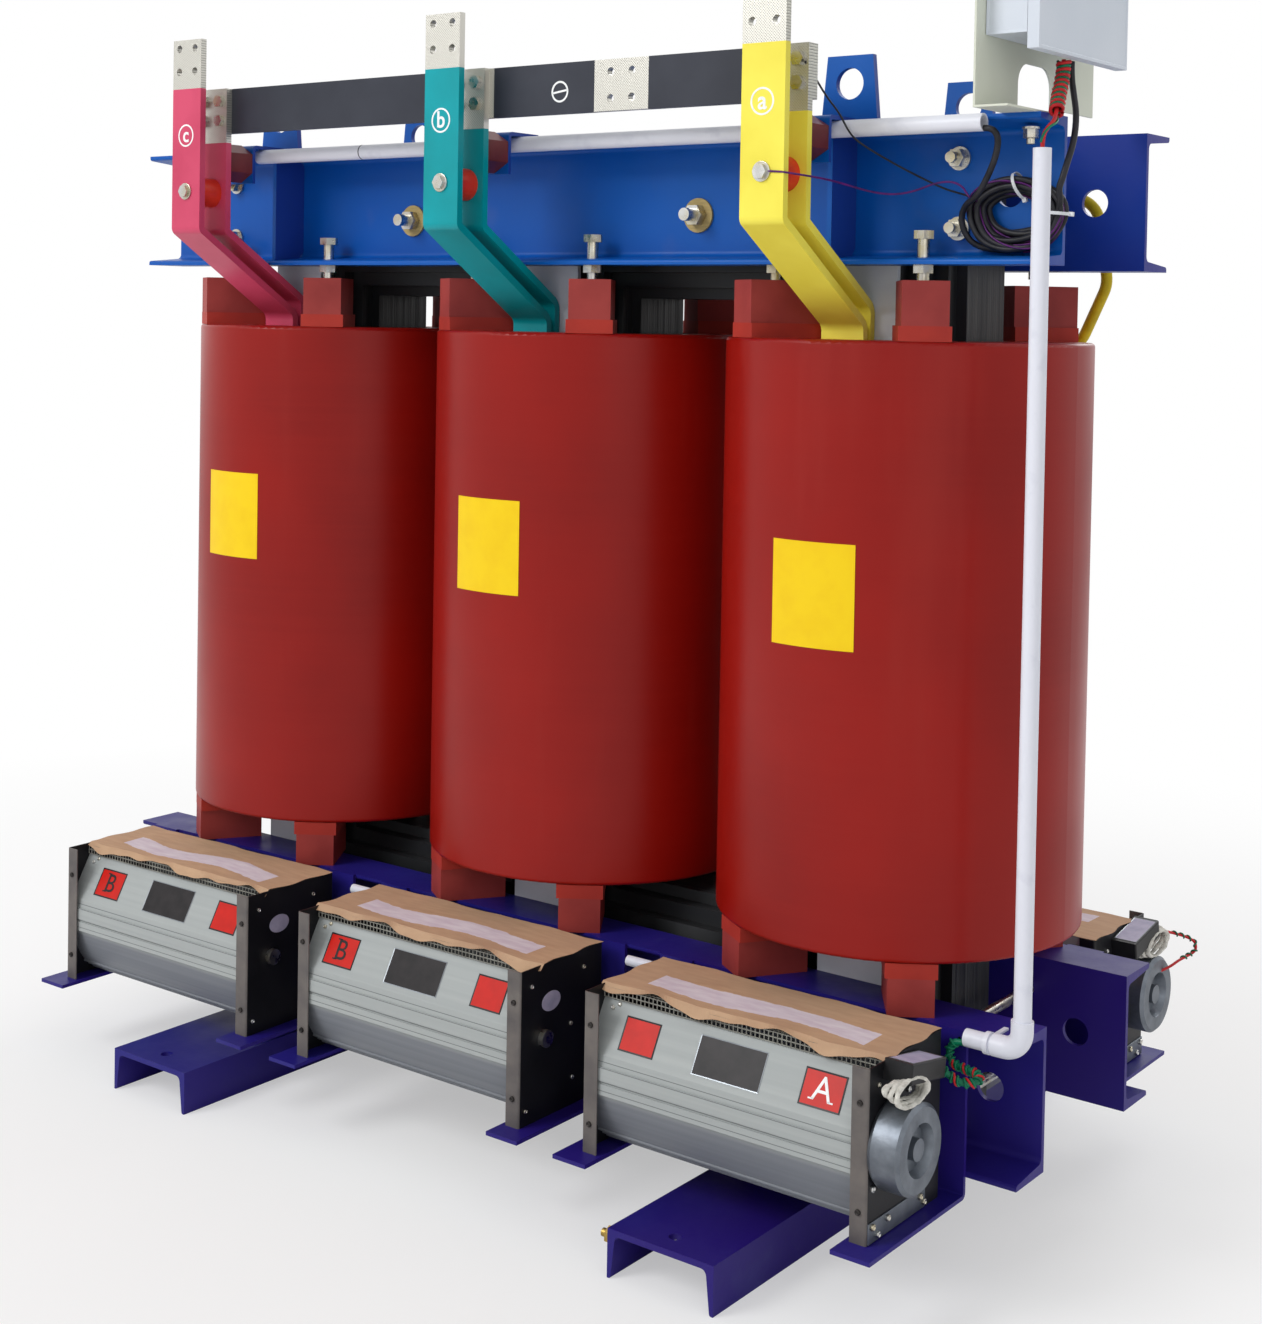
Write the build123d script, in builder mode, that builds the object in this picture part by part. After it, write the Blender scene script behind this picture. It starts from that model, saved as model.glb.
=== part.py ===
"""Cast-resin dry-type power transformer, three phases, low-voltage side to the front.

X runs along the row of coils, Y points to the high-voltage side and Z is up.
The origin lies on the floor, under the middle phase. Sizes are in millimetres.
"""

import os
from math import cos, hypot, radians, sin, tan

from build123d import *

os.makedirs("parts", exist_ok=True)

# Coils; the high-voltage winding starts outside the low-voltage one and its air duct
coil_height = 879
hv_outer_dia = 560
lv_wall = 36
air_duct = 15
lv_bore_clearance = 1.7
coil_edge = 6

# Phases: letter and place along X
coil_gap = 40
phase_pitch = hv_outer_dia + coil_gap
phases = {"c": -phase_pitch, "b": 0, "a": phase_pitch}
outer_phase = phase_pitch

# Laminated core: half widths of the packets and their half depths
packet_half_widths = (130, 112, 88, 57)
packet_half_depths = (60, 85, 108, 130)
tie_plate_thickness = 8

# Base rails, rolled channel with its flanges down
rail_gauge = 1070
rail_length = 1042
rail_height = 70
rail_width = 180
rail_web = 9
rail_toe = 6
rail_root = 13
rail_hole_dia = 20
rail_hole_inset = 38

# Box stools between rails and clamps
stool_width = 120
stool_wall = 8
stool_height = 81

# Core-clamp channels, which run on past the core
clamp_overhang = 190
clamp_height = 206
clamp_width = 85
clamp_web = 8
clamp_toe = 8
clamp_root = 15
clamp_fillet = 9
window_side_step = 24
hauling_hole_dia = 42
hauling_hole_inset = 81
core_end = outer_phase + packet_half_widths[0]
clamp_end = core_end + clamp_overhang
clamp_length = 2 * clamp_end
web_inner = packet_half_depths[-1] + tie_plate_thickness
web_outer = web_inner + clamp_web
clamp_edge = web_inner + clamp_width
flange_middle = (web_outer + clamp_edge) / 2

# Walls of the coils, worked out from the core outwards
lv_inner_dia = 2 * (hypot(packet_half_widths[-1], web_inner) + lv_bore_clearance)
lv_outer_dia = lv_inner_dia + 2 * lv_wall
hv_inner_dia = lv_outer_dia + 2 * air_duct

# Resin support blocks, which start outside the low-voltage bore
block_width = 67
block_foot_width = 75
block_foot_height = 22
block_inset = 13
block_overhang = 4
block_angle = 34
block_height = 86
lower_block_height = 76
block_inner = lv_inner_dia / 2 + block_inset
block_outer = hv_outer_dia / 2 - block_overhang
block_length = block_outer - block_inner
block_centre = (block_outer + block_inner) / 2

# Jack bolts on the middle line of the top clamps' flanges
jack_dia = 18
jack_head_af = 28
jack_head_height = 12
jack_lift = 22
jack_gap = 23
jack_y = flange_middle
jack_x = jack_y * tan(radians(block_angle))

# Heights, worked out from the stack of pieces
bottom_clamp_base = rail_height + stool_height
bottom_clamp_top = bottom_clamp_base + clamp_height
coil_base = bottom_clamp_top + lower_block_height
coil_top = coil_base + coil_height
block_top = coil_top + block_height
top_clamp_base = block_top + jack_gap
top_clamp_top = top_clamp_base + clamp_height
lower_yoke_z = bottom_clamp_base + clamp_height / 2 + window_side_step
upper_yoke_z = top_clamp_base + clamp_height / 2 - window_side_step
yoke_spacing = upper_yoke_z - lower_yoke_z

# Stiffening ribs and lifting lugs on the top clamps
rib_thickness = 8
rib_offset = 15
lug_width = 95
lug_top_width = 76
lug_height = 99
lug_thickness = 10
lug_hole_dia = 46
lug_hole_height = 58

# Bolts through the yokes and past their ends
yoke_bolt_offset = 5
yoke_bolt_x = phase_pitch / 2 + yoke_bolt_offset
yoke_bolt_dia = 20
yoke_nut_af = 30
yoke_nut_height = 16
yoke_bolt_stub = 22
yoke_washer_dia = 54
yoke_washer_thickness = 4
sleeve_clearance = 0.5
stud_gap = 30
stud_x = core_end + stud_gap
stud_dia = 16
stud_nut_af = 24
stud_nut_height = 14
stud_stub = 14
stud_washer_dia = 34
stud_washer_thickness = 4
stud_spacing = 100

# Low-voltage bars
bar_offset = -15
bar_width = 72
bar_thickness = 12
bar_front = 395
bar_gap = 47
bar_bend_rise = 53
bar_bend_radius = 14
bar_slope = 0.641
line_bar_rise = 180
star_bar_rise = 100
foot_inset = 1
foot_spacing = 20
terminal_hole_dia = 13
terminal_hole_spacing = 40
terminal_hole_inset = 15
neutral_height = 78
neutral_pad_offset = 17
star_bolt_dia = 12
star_bolt_spacing = 34
bolt_clearance = 0.5
bar_bolt_drop = 56
bar_bolt_dia = 12
bar_nut_af = 19
bar_nut_height = 8
spacer_dia = 51
insulator_drop = 27
insulator_length = 56
insulator_dia = 58
insulator_bracket_thickness = 6
insulator_bracket_width = 60
insulator_bracket_drop = 68

# Cross-flow fans under the coils
fan_pitch_step = 4
fan_shift = -17
fan_length = 476
fan_depth = 198
fan_block_clearance = 2.2
fan_drop = 24
fan_height = 235
fan_axis_inset = 55
fan_axis_height = 123
plate_thickness = 2
plate_flange = 26
shell_wall = 3
shell_clearance = 4.2
impeller_dia = 90
impeller_clearance = 12
shaft_dia = 12
motor_dia = 122
motor_length = 48
motor_hub_dia = 60
motor_recess = 14
capacitor_length = 96
capacitor_width = 42
capacitor_height = 28
capacitor_tilt = 10
capacitor_drop = 17
capacitor_inset = 85
band_proud = 1.8
band_rise = 6
band_height = 20
strip_drop = 19
strip_height = 16
lip_ridge_dia = 5
boss_dia = 26
boss_length = 9
bracket_thickness = 6
bracket_width = 60
bracket_tip = 35
bracket_overlap = 26
belly_drop = 56
belly_depth = 9
chin_height = 22
chin_depth = 32
lip_depth = 62
face_slant = 41
face_top_gap = 20
brow_depth = 3
brow_height = 22
tail_bulge = 9
tail_middle = 40
tail_depth = 34
tail_drop = 72

# Controller and its bracket
controller_inset = 54
controller_depth = 79
controller_width = 284
controller_height = 200
controller_rise = 77
controller_back_edge = 0
bracket_sheet = 3
sheet_front = 310
sheet_back = -62
sheet_height = 253
sheet_foot = 48
window_height = 62
window_width = 104
window_front = 184
window_corner = 30

# White conduit
conduit_dia = 25
conduit_bore = 20
conduit_elbow = 26
top_conduit_start = 3
top_conduit_inset = 78
riser_gap = 11
riser_drop = 51
run_inset = 73
elbow_wall = 3
elbow_grip = 16
clip_inset = 17
clip_width = 7

# High-voltage side: tap pads and terminal bosses on the coils' backs, rods and post insulators
tap_pad_width = 118
tap_pad_height = 430
tap_pad_proud = 14
tap_pad_corner = 12
boss_width = 64
boss_height = 72
boss_proud = 22
boss_inset = 72
tap_stud_dia = 10
tap_stud_length = 20
tap_nut_af = 17
tap_nut_height = 8
tap_column_spacing = 60
tap_row_spacing = 62
tap_row_count = 3
tap_link_width = 22
tap_link_thickness = 4
rod_dia = 18
rod_bend_radius = 42
rod_stand_off = 40
rod_crossing_gap = 30
rod_lug_length = 26
post_shift = 92
post_drop = 56
lead_knee_clearance = 16
lead_bend_drop = 45
post_length = 145
post_base_dia = 60
post_neck_dia = 40
post_shed_dia = 66
post_shed_count = 4
post_stud_dia = 12

# Control cable, its spare length in an oval hank, and the sensing wire
cable_dia = 9
wire_dia = 3
harness_dia = 9
hank_length = 150
hank_height = 110
hank_band = 30
hank_depth = 26
hank_stand_off = 4
hank_lift = 16
hank_end_gap = 13


def channel_section(height, width, web, toe, root, fillet_radius):
    """Half-rolled channel profile: web on the Y axis, flanges towards +X, centred on X."""
    half = height / 2
    with BuildSketch() as section:
        with BuildLine():
            Polyline(
                (0, -half),
                (width, -half),
                (width, -half + toe),
                (web, -half + root),
                (web, half - root),
                (width, half - toe),
                (width, half),
                (0, half),
                close=True,
            )
        make_face()
        inner = section.vertices().filter_by_position(Axis.X, web - 0.1, web + 0.1)
        fillet(inner, fillet_radius)
        toes = section.vertices().filter_by_position(Axis.X, width - 0.1, width + 0.1)
        fillet(toes.filter_by_position(Axis.Y, -half + 1, half - 1), toe * 0.6)
    return section.sketch


# Base rails: 180 channels that lie on their flanges
for side, name in ((-1, "base_rail_left"), (1, "base_rail_right")):
    rail_section = channel_section(rail_width, rail_height, rail_web, rail_toe, rail_root, rail_web)
    end_plane = Plane(
        origin=(side * rail_gauge / 2, rail_length / 2, rail_height),
        x_dir=(0, 0, -1),
        z_dir=(0, -1, 0),
    )
    with BuildPart() as rail:
        with BuildSketch(end_plane):
            add(rail_section)
        extrude(amount=rail_length)
        with Locations(Plane(origin=(side * rail_gauge / 2, 0, rail_height))):
            with GridLocations(1, rail_length - 2 * rail_hole_inset, 1, 2):
                Hole(rail_hole_dia / 2, depth=rail_web * 2)
    rail.part.label = name
    export_step(rail.part, f"parts/{name}.step")

# Stools: short box feet that carry the bottom clamps on the rails
with BuildPart() as stools:
    with BuildSketch(Plane.XY.offset(rail_height)):
        with GridLocations(rail_gauge, 2 * (clamp_edge - clamp_width / 2), 2, 2):
            Rectangle(stool_width, clamp_width)
            Rectangle(stool_width - 2 * stool_wall, clamp_width - 2 * stool_wall, mode=Mode.SUBTRACT)
    extrude(amount=stool_height)
stools.part.label = "clamp_stools"
export_step(stools.part, "parts/clamp_stools.step")

# Laminated core: stepped packets, each a plate with two windows
with BuildPart() as core:
    for half_width, half_depth in zip(packet_half_widths, packet_half_depths):
        window_width_x = phase_pitch - 2 * half_width
        window_height_z = yoke_spacing - 2 * half_width
        with BuildSketch(Plane.XZ.offset(-half_depth)):
            with Locations((0, (lower_yoke_z + upper_yoke_z) / 2)):
                Rectangle(2 * (outer_phase + half_width), yoke_spacing + 2 * half_width)
                with GridLocations(phase_pitch, 1, 2, 1):
                    Rectangle(window_width_x, window_height_z, mode=Mode.SUBTRACT)
        extrude(amount=2 * half_depth)
    with BuildSketch(Plane.XZ.offset(-packet_half_depths[-1])):
        with Locations((0, (lower_yoke_z + upper_yoke_z) / 2)):
            with GridLocations(2 * yoke_bolt_x, yoke_spacing, 2, 2):
                Circle(yoke_bolt_dia / 2 + sleeve_clearance)
    extrude(amount=2 * packet_half_depths[-1], mode=Mode.SUBTRACT)
core.part.label = "core"
export_step(core.part, "parts/core.step")

# Tie plates: steel straps that hold the clamps together along each leg
tie_plate_base = bottom_clamp_base + 20
tie_plate_top = top_clamp_top - 20
with BuildPart() as tie_plates:
    with BuildSketch(Plane.XY.offset(tie_plate_base)):
        with GridLocations(phase_pitch, 2 * (web_inner - tie_plate_thickness / 2), 3, 2):
            Rectangle(2 * packet_half_widths[-1], tie_plate_thickness)
    extrude(amount=tie_plate_top - tie_plate_base)
tie_plates.part.label = "tie_plates"
export_step(tie_plates.part, "parts/tie_plates.step")

# Core clamps: rolled channels with their flanges outwards
clamp_levels = (
    ("top", top_clamp_base + clamp_height / 2, upper_yoke_z),
    ("bottom", bottom_clamp_base + clamp_height / 2, lower_yoke_z),
)
for level, centre_z, yoke_z in clamp_levels:
    for side, where in ((-1, "front"), (1, "back")):
        clamp_section = channel_section(
            clamp_height, clamp_width, clamp_web, clamp_toe, clamp_root, clamp_fillet
        )
        end_plane = Plane(
            origin=(-clamp_length / 2, side * web_inner, centre_z),
            x_dir=(0, side, 0),
            z_dir=(1, 0, 0),
        )
        with BuildPart() as clamp:
            with BuildSketch(end_plane):
                add(clamp_section)
            extrude(amount=clamp_length)
            yoke_face = Plane(
                origin=(0, side * web_outer, yoke_z), x_dir=(1, 0, 0), z_dir=(0, side, 0)
            )
            with Locations(yoke_face):
                with GridLocations(2 * yoke_bolt_x, 1, 2, 1):
                    Hole(yoke_bolt_dia / 2 + sleeve_clearance, depth=clamp_web + 1)
            web_face = Plane(
                origin=(0, side * web_outer, centre_z), x_dir=(1, 0, 0), z_dir=(0, side, 0)
            )
            with Locations(web_face):
                with GridLocations(2 * stud_x, stud_spacing, 2, 2):
                    Hole(stud_dia / 2 + sleeve_clearance, depth=clamp_web + 1)
                with GridLocations(clamp_length - 2 * hauling_hole_inset, 1, 2, 1):
                    Hole(hauling_hole_dia / 2, depth=clamp_web + 1)
            if level == "top":
                with Locations(Plane.XY.offset(top_clamp_base)):
                    for phase_x in phases.values():
                        with Locations((phase_x, side * jack_y)):
                            with GridLocations(2 * jack_x, 1, 2, 1):
                                Cylinder(
                                    jack_dia / 2 + sleeve_clearance,
                                    clamp_height,
                                    mode=Mode.SUBTRACT,
                                )
        name = f"{level}_clamp_{where}"
        clamp.part.label = name
        export_step(clamp.part, f"parts/{name}.step")

# Stiffening ribs: welded plates that fill the top clamps' section under the lugs
rib_x = outer_phase - rib_offset
root_z = clamp_height / 2 - clamp_root
toe_z = clamp_height / 2 - clamp_toe
rib_snipe = clamp_fillet * 1.2
slope_y = rib_snipe
slope_z = root_z + (clamp_root - clamp_toe) * slope_y / (clamp_width - clamp_web)
with BuildPart() as ribs:
    for side in (-1, 1):
        for rib_place in (-rib_x, rib_x):
            rib_plane = Plane(
                origin=(rib_place, side * web_outer, top_clamp_base + clamp_height / 2),
                x_dir=(0, side, 0),
                z_dir=(1, 0, 0),
            )
            with BuildSketch(rib_plane):
                with BuildLine():
                    Polyline(
                        (0, -root_z + rib_snipe),
                        (slope_y, -slope_z),
                        (clamp_width - clamp_web - clamp_toe, -toe_z + 1),
                        (clamp_width - clamp_web - clamp_toe, toe_z - 1),
                        (slope_y, slope_z),
                        (0, root_z - rib_snipe),
                        close=True,
                    )
                make_face()
            extrude(amount=rib_thickness / 2, both=True)
ribs.part.label = "clamp_ribs"
export_step(ribs.part, "parts/clamp_ribs.step")

# Lifting lugs: tapered eye plates on the top flanges over the outer legs
with BuildPart() as lugs:
    for lug_y in (-flange_middle, flange_middle):
        with BuildSketch(Plane(origin=(0, lug_y, top_clamp_top), x_dir=(1, 0, 0), z_dir=(0, -1, 0))):
            for lug_x in (-outer_phase, outer_phase):
                with BuildLine():
                    Polyline(
                        (lug_x - lug_width / 2, 0),
                        (lug_x + lug_width / 2, 0),
                        (lug_x + lug_top_width / 2, lug_height),
                        (lug_x - lug_top_width / 2, lug_height),
                        close=True,
                    )
                make_face()
            with Locations((-outer_phase, lug_hole_height), (outer_phase, lug_hole_height)):
                Circle(lug_hole_dia / 2, mode=Mode.SUBTRACT)
        extrude(amount=lug_thickness / 2, both=True)
lugs.part.label = "lifting_lugs"
export_step(lugs.part, "parts/lifting_lugs.step")

# Coils of each phase; the high-voltage ones carry a tap pad and two terminal bosses behind
hv_wall = (hv_outer_dia - hv_inner_dia) / 2
coil_middle_z = coil_base + coil_height / 2
for phase, phase_x in phases.items():
    with BuildPart() as hv_coil:
        with BuildSketch(Plane.XY.offset(coil_base)):
            with Locations((phase_x, 0)):
                Circle(hv_outer_dia / 2)
                Circle(hv_inner_dia / 2, mode=Mode.SUBTRACT)
        extrude(amount=coil_height)
        fillet(hv_coil.edges().filter_by(GeomType.CIRCLE), coil_edge)
        for width, height, proud, z in (
            (tap_pad_width, tap_pad_height, tap_pad_proud, coil_middle_z),
            (boss_width, boss_height, boss_proud, coil_top - boss_inset),
            (boss_width, boss_height, boss_proud, coil_base + boss_inset),
        ):
            with BuildSketch(Plane.XZ.offset(-hv_outer_dia / 2 - proud)):
                with Locations((phase_x, z)):
                    RectangleRounded(width, height, tap_pad_corner)
            extrude(amount=proud + hv_wall / 2)
    name = f"hv_coil_{phase}"
    hv_coil.part.label = name
    export_step(hv_coil.part, f"parts/{name}.step")

with BuildPart() as lv_coils:
    with BuildSketch(Plane.XY.offset(coil_base)):
        with GridLocations(phase_pitch, 1, 3, 1):
            Circle(lv_outer_dia / 2)
            Circle(lv_inner_dia / 2, mode=Mode.SUBTRACT)
    extrude(amount=coil_height)
lv_coils.part.label = "lv_coils"
export_step(lv_coils.part, "parts/lv_coils.step")

# Tap studs with the link that picks the voltage, and the terminal studs on the bosses
tap_face = hv_outer_dia / 2 + tap_pad_proud
boss_face = hv_outer_dia / 2 + boss_proud
rod_y = boss_face + rod_stand_off
with BuildPart() as tap_studs:
    for phase_x in phases.values():
        with BuildSketch(Plane.XZ.offset(-tap_face)):
            with Locations((phase_x, coil_middle_z)):
                with GridLocations(tap_column_spacing, tap_row_spacing, 2, tap_row_count):
                    Circle(tap_stud_dia / 2)
        extrude(amount=-tap_stud_length)
        with BuildSketch(Plane.XZ.offset(-tap_face)):
            with Locations((phase_x, coil_middle_z)):
                with GridLocations(tap_column_spacing, tap_row_spacing, 2, tap_row_count):
                    RegularPolygon(tap_nut_af / 2, 6, major_radius=False)
        extrude(amount=-tap_nut_height)
        with BuildSketch(Plane.XZ.offset(-tap_face - tap_nut_height)):
            with Locations((phase_x, coil_middle_z)):
                SlotCenterToCenter(tap_column_spacing, tap_link_width)
        extrude(amount=-tap_link_thickness)
tap_studs.part.label = "tap_studs"
export_step(tap_studs.part, "parts/tap_studs.step")

# Post insulators with sheds on the back clamp's web, for the high-voltage line ends
post_z = top_clamp_top - post_drop
post_end = web_outer + post_length
shed_pitch = post_length / (post_shed_count + 1)
post_profile = [(0, 0), (post_base_dia / 2, 0), (post_base_dia / 2, shed_pitch / 3)]
for shed in range(1, post_shed_count + 1):
    post_profile.append((post_neck_dia / 2, shed * shed_pitch - shed_pitch / 3))
    post_profile.append((post_shed_dia / 2, shed * shed_pitch))
    post_profile.append((post_neck_dia / 2, shed * shed_pitch + shed_pitch / 4))
post_profile.append((post_neck_dia / 2, post_length))
post_profile.append((0, post_length))
with BuildPart() as hv_posts:
    for phase_x in phases.values():
        post_x = phase_x + post_shift
        post_plane = Plane(origin=(post_x, web_outer, post_z), x_dir=(1, 0, 0), z_dir=(0, 0, 1))
        with BuildSketch(post_plane):
            with BuildLine():
                Polyline(*post_profile, close=True)
            make_face()
        revolve(axis=Axis((post_x, web_outer, post_z), (0, 1, 0)))
hv_posts.part.label = "hv_posts"
export_step(hv_posts.part, "parts/hv_posts.step")

# High-voltage rods in phase-coloured sleeves: one from each upper terminal to the next phase's
# lower one, and one from each upper terminal to its post insulator
lead_y = post_end + rod_dia / 2
rod_ends = {"c": "b", "b": "a", "a": "c"}
upper_z = coil_top - boss_inset
lower_z = coil_base + boss_inset
for phase, phase_x in phases.items():
    far_x = phases[rod_ends[phase]]
    crossing_y = rod_y
    if far_x < phase_x:
        crossing_y = rod_y + rod_dia + rod_crossing_gap
    with BuildPart() as rods:
        with BuildLine() as delta_path:
            FilletPolyline(
                (phase_x, boss_face, upper_z - rod_dia / 2),
                (phase_x, crossing_y, upper_z - rod_dia / 2),
                (far_x, crossing_y, lower_z),
                (far_x, boss_face, lower_z),
                radius=rod_bend_radius * 0.4,
            )
        with BuildSketch(
            Plane(origin=(phase_x, boss_face, upper_z - rod_dia / 2), z_dir=(0, 1, 0))
        ):
            Circle(rod_dia / 2)
        sweep(path=delta_path.line)
        lead_start = (phase_x, boss_face, upper_z + rod_dia)
        with BuildLine() as lead_path:
            FilletPolyline(
                lead_start,
                (phase_x, rod_y, upper_z + rod_dia),
                (phase_x + post_shift * 1.5, rod_y - rod_dia, coil_top),
                (phase_x + post_shift * 2.08, lead_y, top_clamp_base - lead_knee_clearance),
                (phase_x + post_shift * 1.86, lead_y, post_z - lead_bend_drop),
                (phase_x + post_shift, lead_y, post_z),
                radius=(16, rod_bend_radius, rod_bend_radius, rod_bend_radius),
            )
        with BuildSketch(Plane(origin=lead_start, z_dir=(0, 1, 0))):
            Circle(rod_dia / 2)
        sweep(path=lead_path.line)
    name = f"hv_rods_{phase}"
    rods.part.label = name
    print(name, "volume", round(rods.part.volume))
    export_step(rods.part, f"parts/{name}.step")

# Resin support blocks above and below the coils, four to a coil end, each on a wider foot
block_levels = (
    ("top_blocks", coil_top, block_height, 1),
    ("bottom_blocks", coil_base, lower_block_height, -1),
)
for name, level_z, height, direction in block_levels:
    with BuildPart() as blocks:
        for phase_x in phases.values():
            for turn in (block_angle, 180 - block_angle, 180 + block_angle, -block_angle):
                block_plane = Plane(
                    origin=(phase_x, 0, level_z),
                    x_dir=(sin(radians(turn)), cos(radians(turn)), 0),
                    z_dir=(0, 0, direction),
                )
                with BuildSketch(block_plane):
                    with Locations((block_centre, 0)):
                        Rectangle(block_length, block_width)
                extrude(amount=height)
                with BuildSketch(block_plane):
                    with Locations((block_centre, 0)):
                        Rectangle(block_length, block_foot_width)
                extrude(amount=block_foot_height)
    blocks.part.label = name
    export_step(blocks.part, f"parts/{name}.step")

# Jack bolts: press the upper blocks down from the top clamps' lower flanges
jack_places = []
for phase_x in phases.values():
    for side_x in (-1, 1):
        for side_y in (-1, 1):
            jack_places.append((phase_x + side_x * jack_x, side_y * jack_y))
jack_head_z = top_clamp_base + clamp_root + jack_lift
with BuildPart() as jacks:
    with BuildSketch(Plane.XY.offset(block_top)):
        with Locations(*jack_places):
            Circle(jack_dia / 2)
    extrude(amount=jack_head_z - block_top)
    with BuildSketch(Plane.XY.offset(jack_head_z)):
        with Locations(*jack_places):
            RegularPolygon(jack_head_af / 2, 6, major_radius=False)
    extrude(amount=jack_head_height)
    with BuildSketch(Plane.XY.offset(top_clamp_base)):
        with Locations(*jack_places):
            RegularPolygon(jack_head_af / 2, 6, major_radius=False)
    extrude(amount=-jack_head_height)
jacks.part.label = "jack_bolts"
export_step(jacks.part, "parts/jack_bolts.step")

# Yoke bolts and their insulating washers
yoke_bolt_places = [
    (x, z) for x in (-yoke_bolt_x, yoke_bolt_x) for z in (lower_yoke_z, upper_yoke_z)
]
yoke_nut_start = web_outer + yoke_washer_thickness
yoke_bolt_reach = yoke_nut_start + yoke_nut_height + yoke_bolt_stub
with BuildPart() as yoke_bolts:
    with BuildSketch(Plane.XZ):
        with Locations(*yoke_bolt_places):
            Circle(yoke_bolt_dia / 2)
    extrude(amount=yoke_bolt_reach, both=True)
    for side in (-1, 1):
        with BuildSketch(Plane.XZ.offset(side * yoke_nut_start)):
            with Locations(*yoke_bolt_places):
                RegularPolygon(yoke_nut_af / 2, 6, major_radius=False)
        extrude(amount=side * yoke_nut_height)
yoke_bolts.part.label = "yoke_bolts"
export_step(yoke_bolts.part, "parts/yoke_bolts.step")

with BuildPart() as yoke_washers:
    for side in (-1, 1):
        with BuildSketch(Plane.XZ.offset(side * web_outer)):
            with Locations(*yoke_bolt_places):
                Circle(yoke_washer_dia / 2)
                Circle(yoke_bolt_dia / 2, mode=Mode.SUBTRACT)
        extrude(amount=side * yoke_washer_thickness)
yoke_washers.part.label = "yoke_washers"
export_step(yoke_washers.part, "parts/yoke_washers.step")

# Clamping studs past the ends of the core
stud_places = [
    (x, z + offset_z)
    for x in (-stud_x, stud_x)
    for z in (bottom_clamp_base + clamp_height / 2, top_clamp_base + clamp_height / 2)
    for offset_z in (-stud_spacing / 2, stud_spacing / 2)
]
stud_reach = web_outer + stud_washer_thickness + stud_nut_height + stud_stub
with BuildPart() as studs:
    with BuildSketch(Plane.XZ):
        with Locations(*stud_places):
            Circle(stud_dia / 2)
    extrude(amount=stud_reach, both=True)
    for side in (-1, 1):
        with BuildSketch(Plane.XZ.offset(side * web_outer)):
            with Locations(*stud_places):
                Circle(stud_washer_dia / 2)
        extrude(amount=side * stud_washer_thickness)
        with BuildSketch(Plane.XZ.offset(side * (web_outer + stud_washer_thickness))):
            with Locations(*stud_places):
                RegularPolygon(stud_nut_af / 2, 6, major_radius=False)
        extrude(amount=side * stud_nut_height)
studs.part.label = "clamp_studs"
export_step(studs.part, "parts/clamp_studs.step")

# Low-voltage bars: line bars in front, star-point bars behind them
line_bar_top = top_clamp_top + line_bar_rise
star_bar_top = top_clamp_top + star_bar_rise
bar_bend_z = top_clamp_base + bar_bend_rise
insulator_z = top_clamp_top - insulator_drop
bar_bolt_z = insulator_z - bar_bolt_drop
star_foot_front = lv_inner_dia / 2 + foot_inset
line_foot_front = star_foot_front + foot_spacing
star_front = bar_front - bar_thickness - bar_gap
star_back = star_front - bar_thickness
neutral_z = star_bar_top - neutral_height / 2
bar_kinds = (
    ("line_bar", bar_front, line_bar_top, line_foot_front),
    ("star_bar", star_front, star_bar_top, star_foot_front),
)
for base_name, front, top, foot_front in bar_kinds:
    foot_z = bar_bend_z - (front - foot_front) * bar_slope
    for phase, phase_x in phases.items():
        bar_x = phase_x + bar_offset
        with BuildPart() as bar:
            with BuildSketch(Plane.YZ.offset(bar_x)):
                with BuildLine():
                    FilletPolyline(
                        (-front, top),
                        (-front, bar_bend_z),
                        (-foot_front, foot_z),
                        (-foot_front, coil_top),
                        radius=bar_bend_radius,
                    )
                    offset(amount=bar_thickness, side=Side.LEFT)
                make_face()
            extrude(amount=bar_width / 2, both=True)
            with Locations(Plane(origin=(bar_x, -front, bar_bolt_z), z_dir=(0, -1, 0))):
                Hole(bar_bolt_dia / 2 + bolt_clearance, depth=bar_thickness + 1)
            if base_name == "line_bar":
                pad_z = top - terminal_hole_inset - terminal_hole_spacing / 2
                pitch_z = terminal_hole_spacing
                hole_dia = terminal_hole_dia
            else:
                pad_z = neutral_z
                pitch_z = star_bolt_spacing
                hole_dia = star_bolt_dia + 2 * bolt_clearance
            pad_plane = Plane(origin=(bar_x, -front, pad_z), x_dir=(1, 0, 0), z_dir=(0, -1, 0))
            with Locations(pad_plane):
                with GridLocations(terminal_hole_spacing, pitch_z, 2, 2):
                    Hole(hole_dia / 2, depth=bar_thickness + 1)
        name = f"{base_name}_{phase}"
        bar.part.label = name
        export_step(bar.part, f"parts/{name}.step")

# Neutral bar across the backs of the star-point bars
neutral_left = -outer_phase + bar_offset - bar_width / 2
neutral_right = outer_phase + bar_offset + bar_width / 2
neutral_pad_x = phase_pitch / 2 - neutral_pad_offset
neutral_plane = Plane(origin=(0, -star_back, neutral_z), z_dir=(0, -1, 0), x_dir=(1, 0, 0))
with BuildPart() as neutral_bar:
    with BuildSketch(neutral_plane):
        with Locations(((neutral_left + neutral_right) / 2, 0)):
            Rectangle(neutral_right - neutral_left, neutral_height)
        with Locations((neutral_pad_x, 0)):
            with GridLocations(terminal_hole_spacing, terminal_hole_spacing, 2, 2):
                Circle(terminal_hole_dia / 2, mode=Mode.SUBTRACT)
        for phase_x in phases.values():
            with Locations((phase_x + bar_offset, 0)):
                with GridLocations(terminal_hole_spacing, star_bolt_spacing, 2, 2):
                    Circle(star_bolt_dia / 2 + bolt_clearance, mode=Mode.SUBTRACT)
    extrude(amount=-bar_thickness)
neutral_bar.part.label = "neutral_bar"
export_step(neutral_bar.part, "parts/neutral_bar.step")

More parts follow.
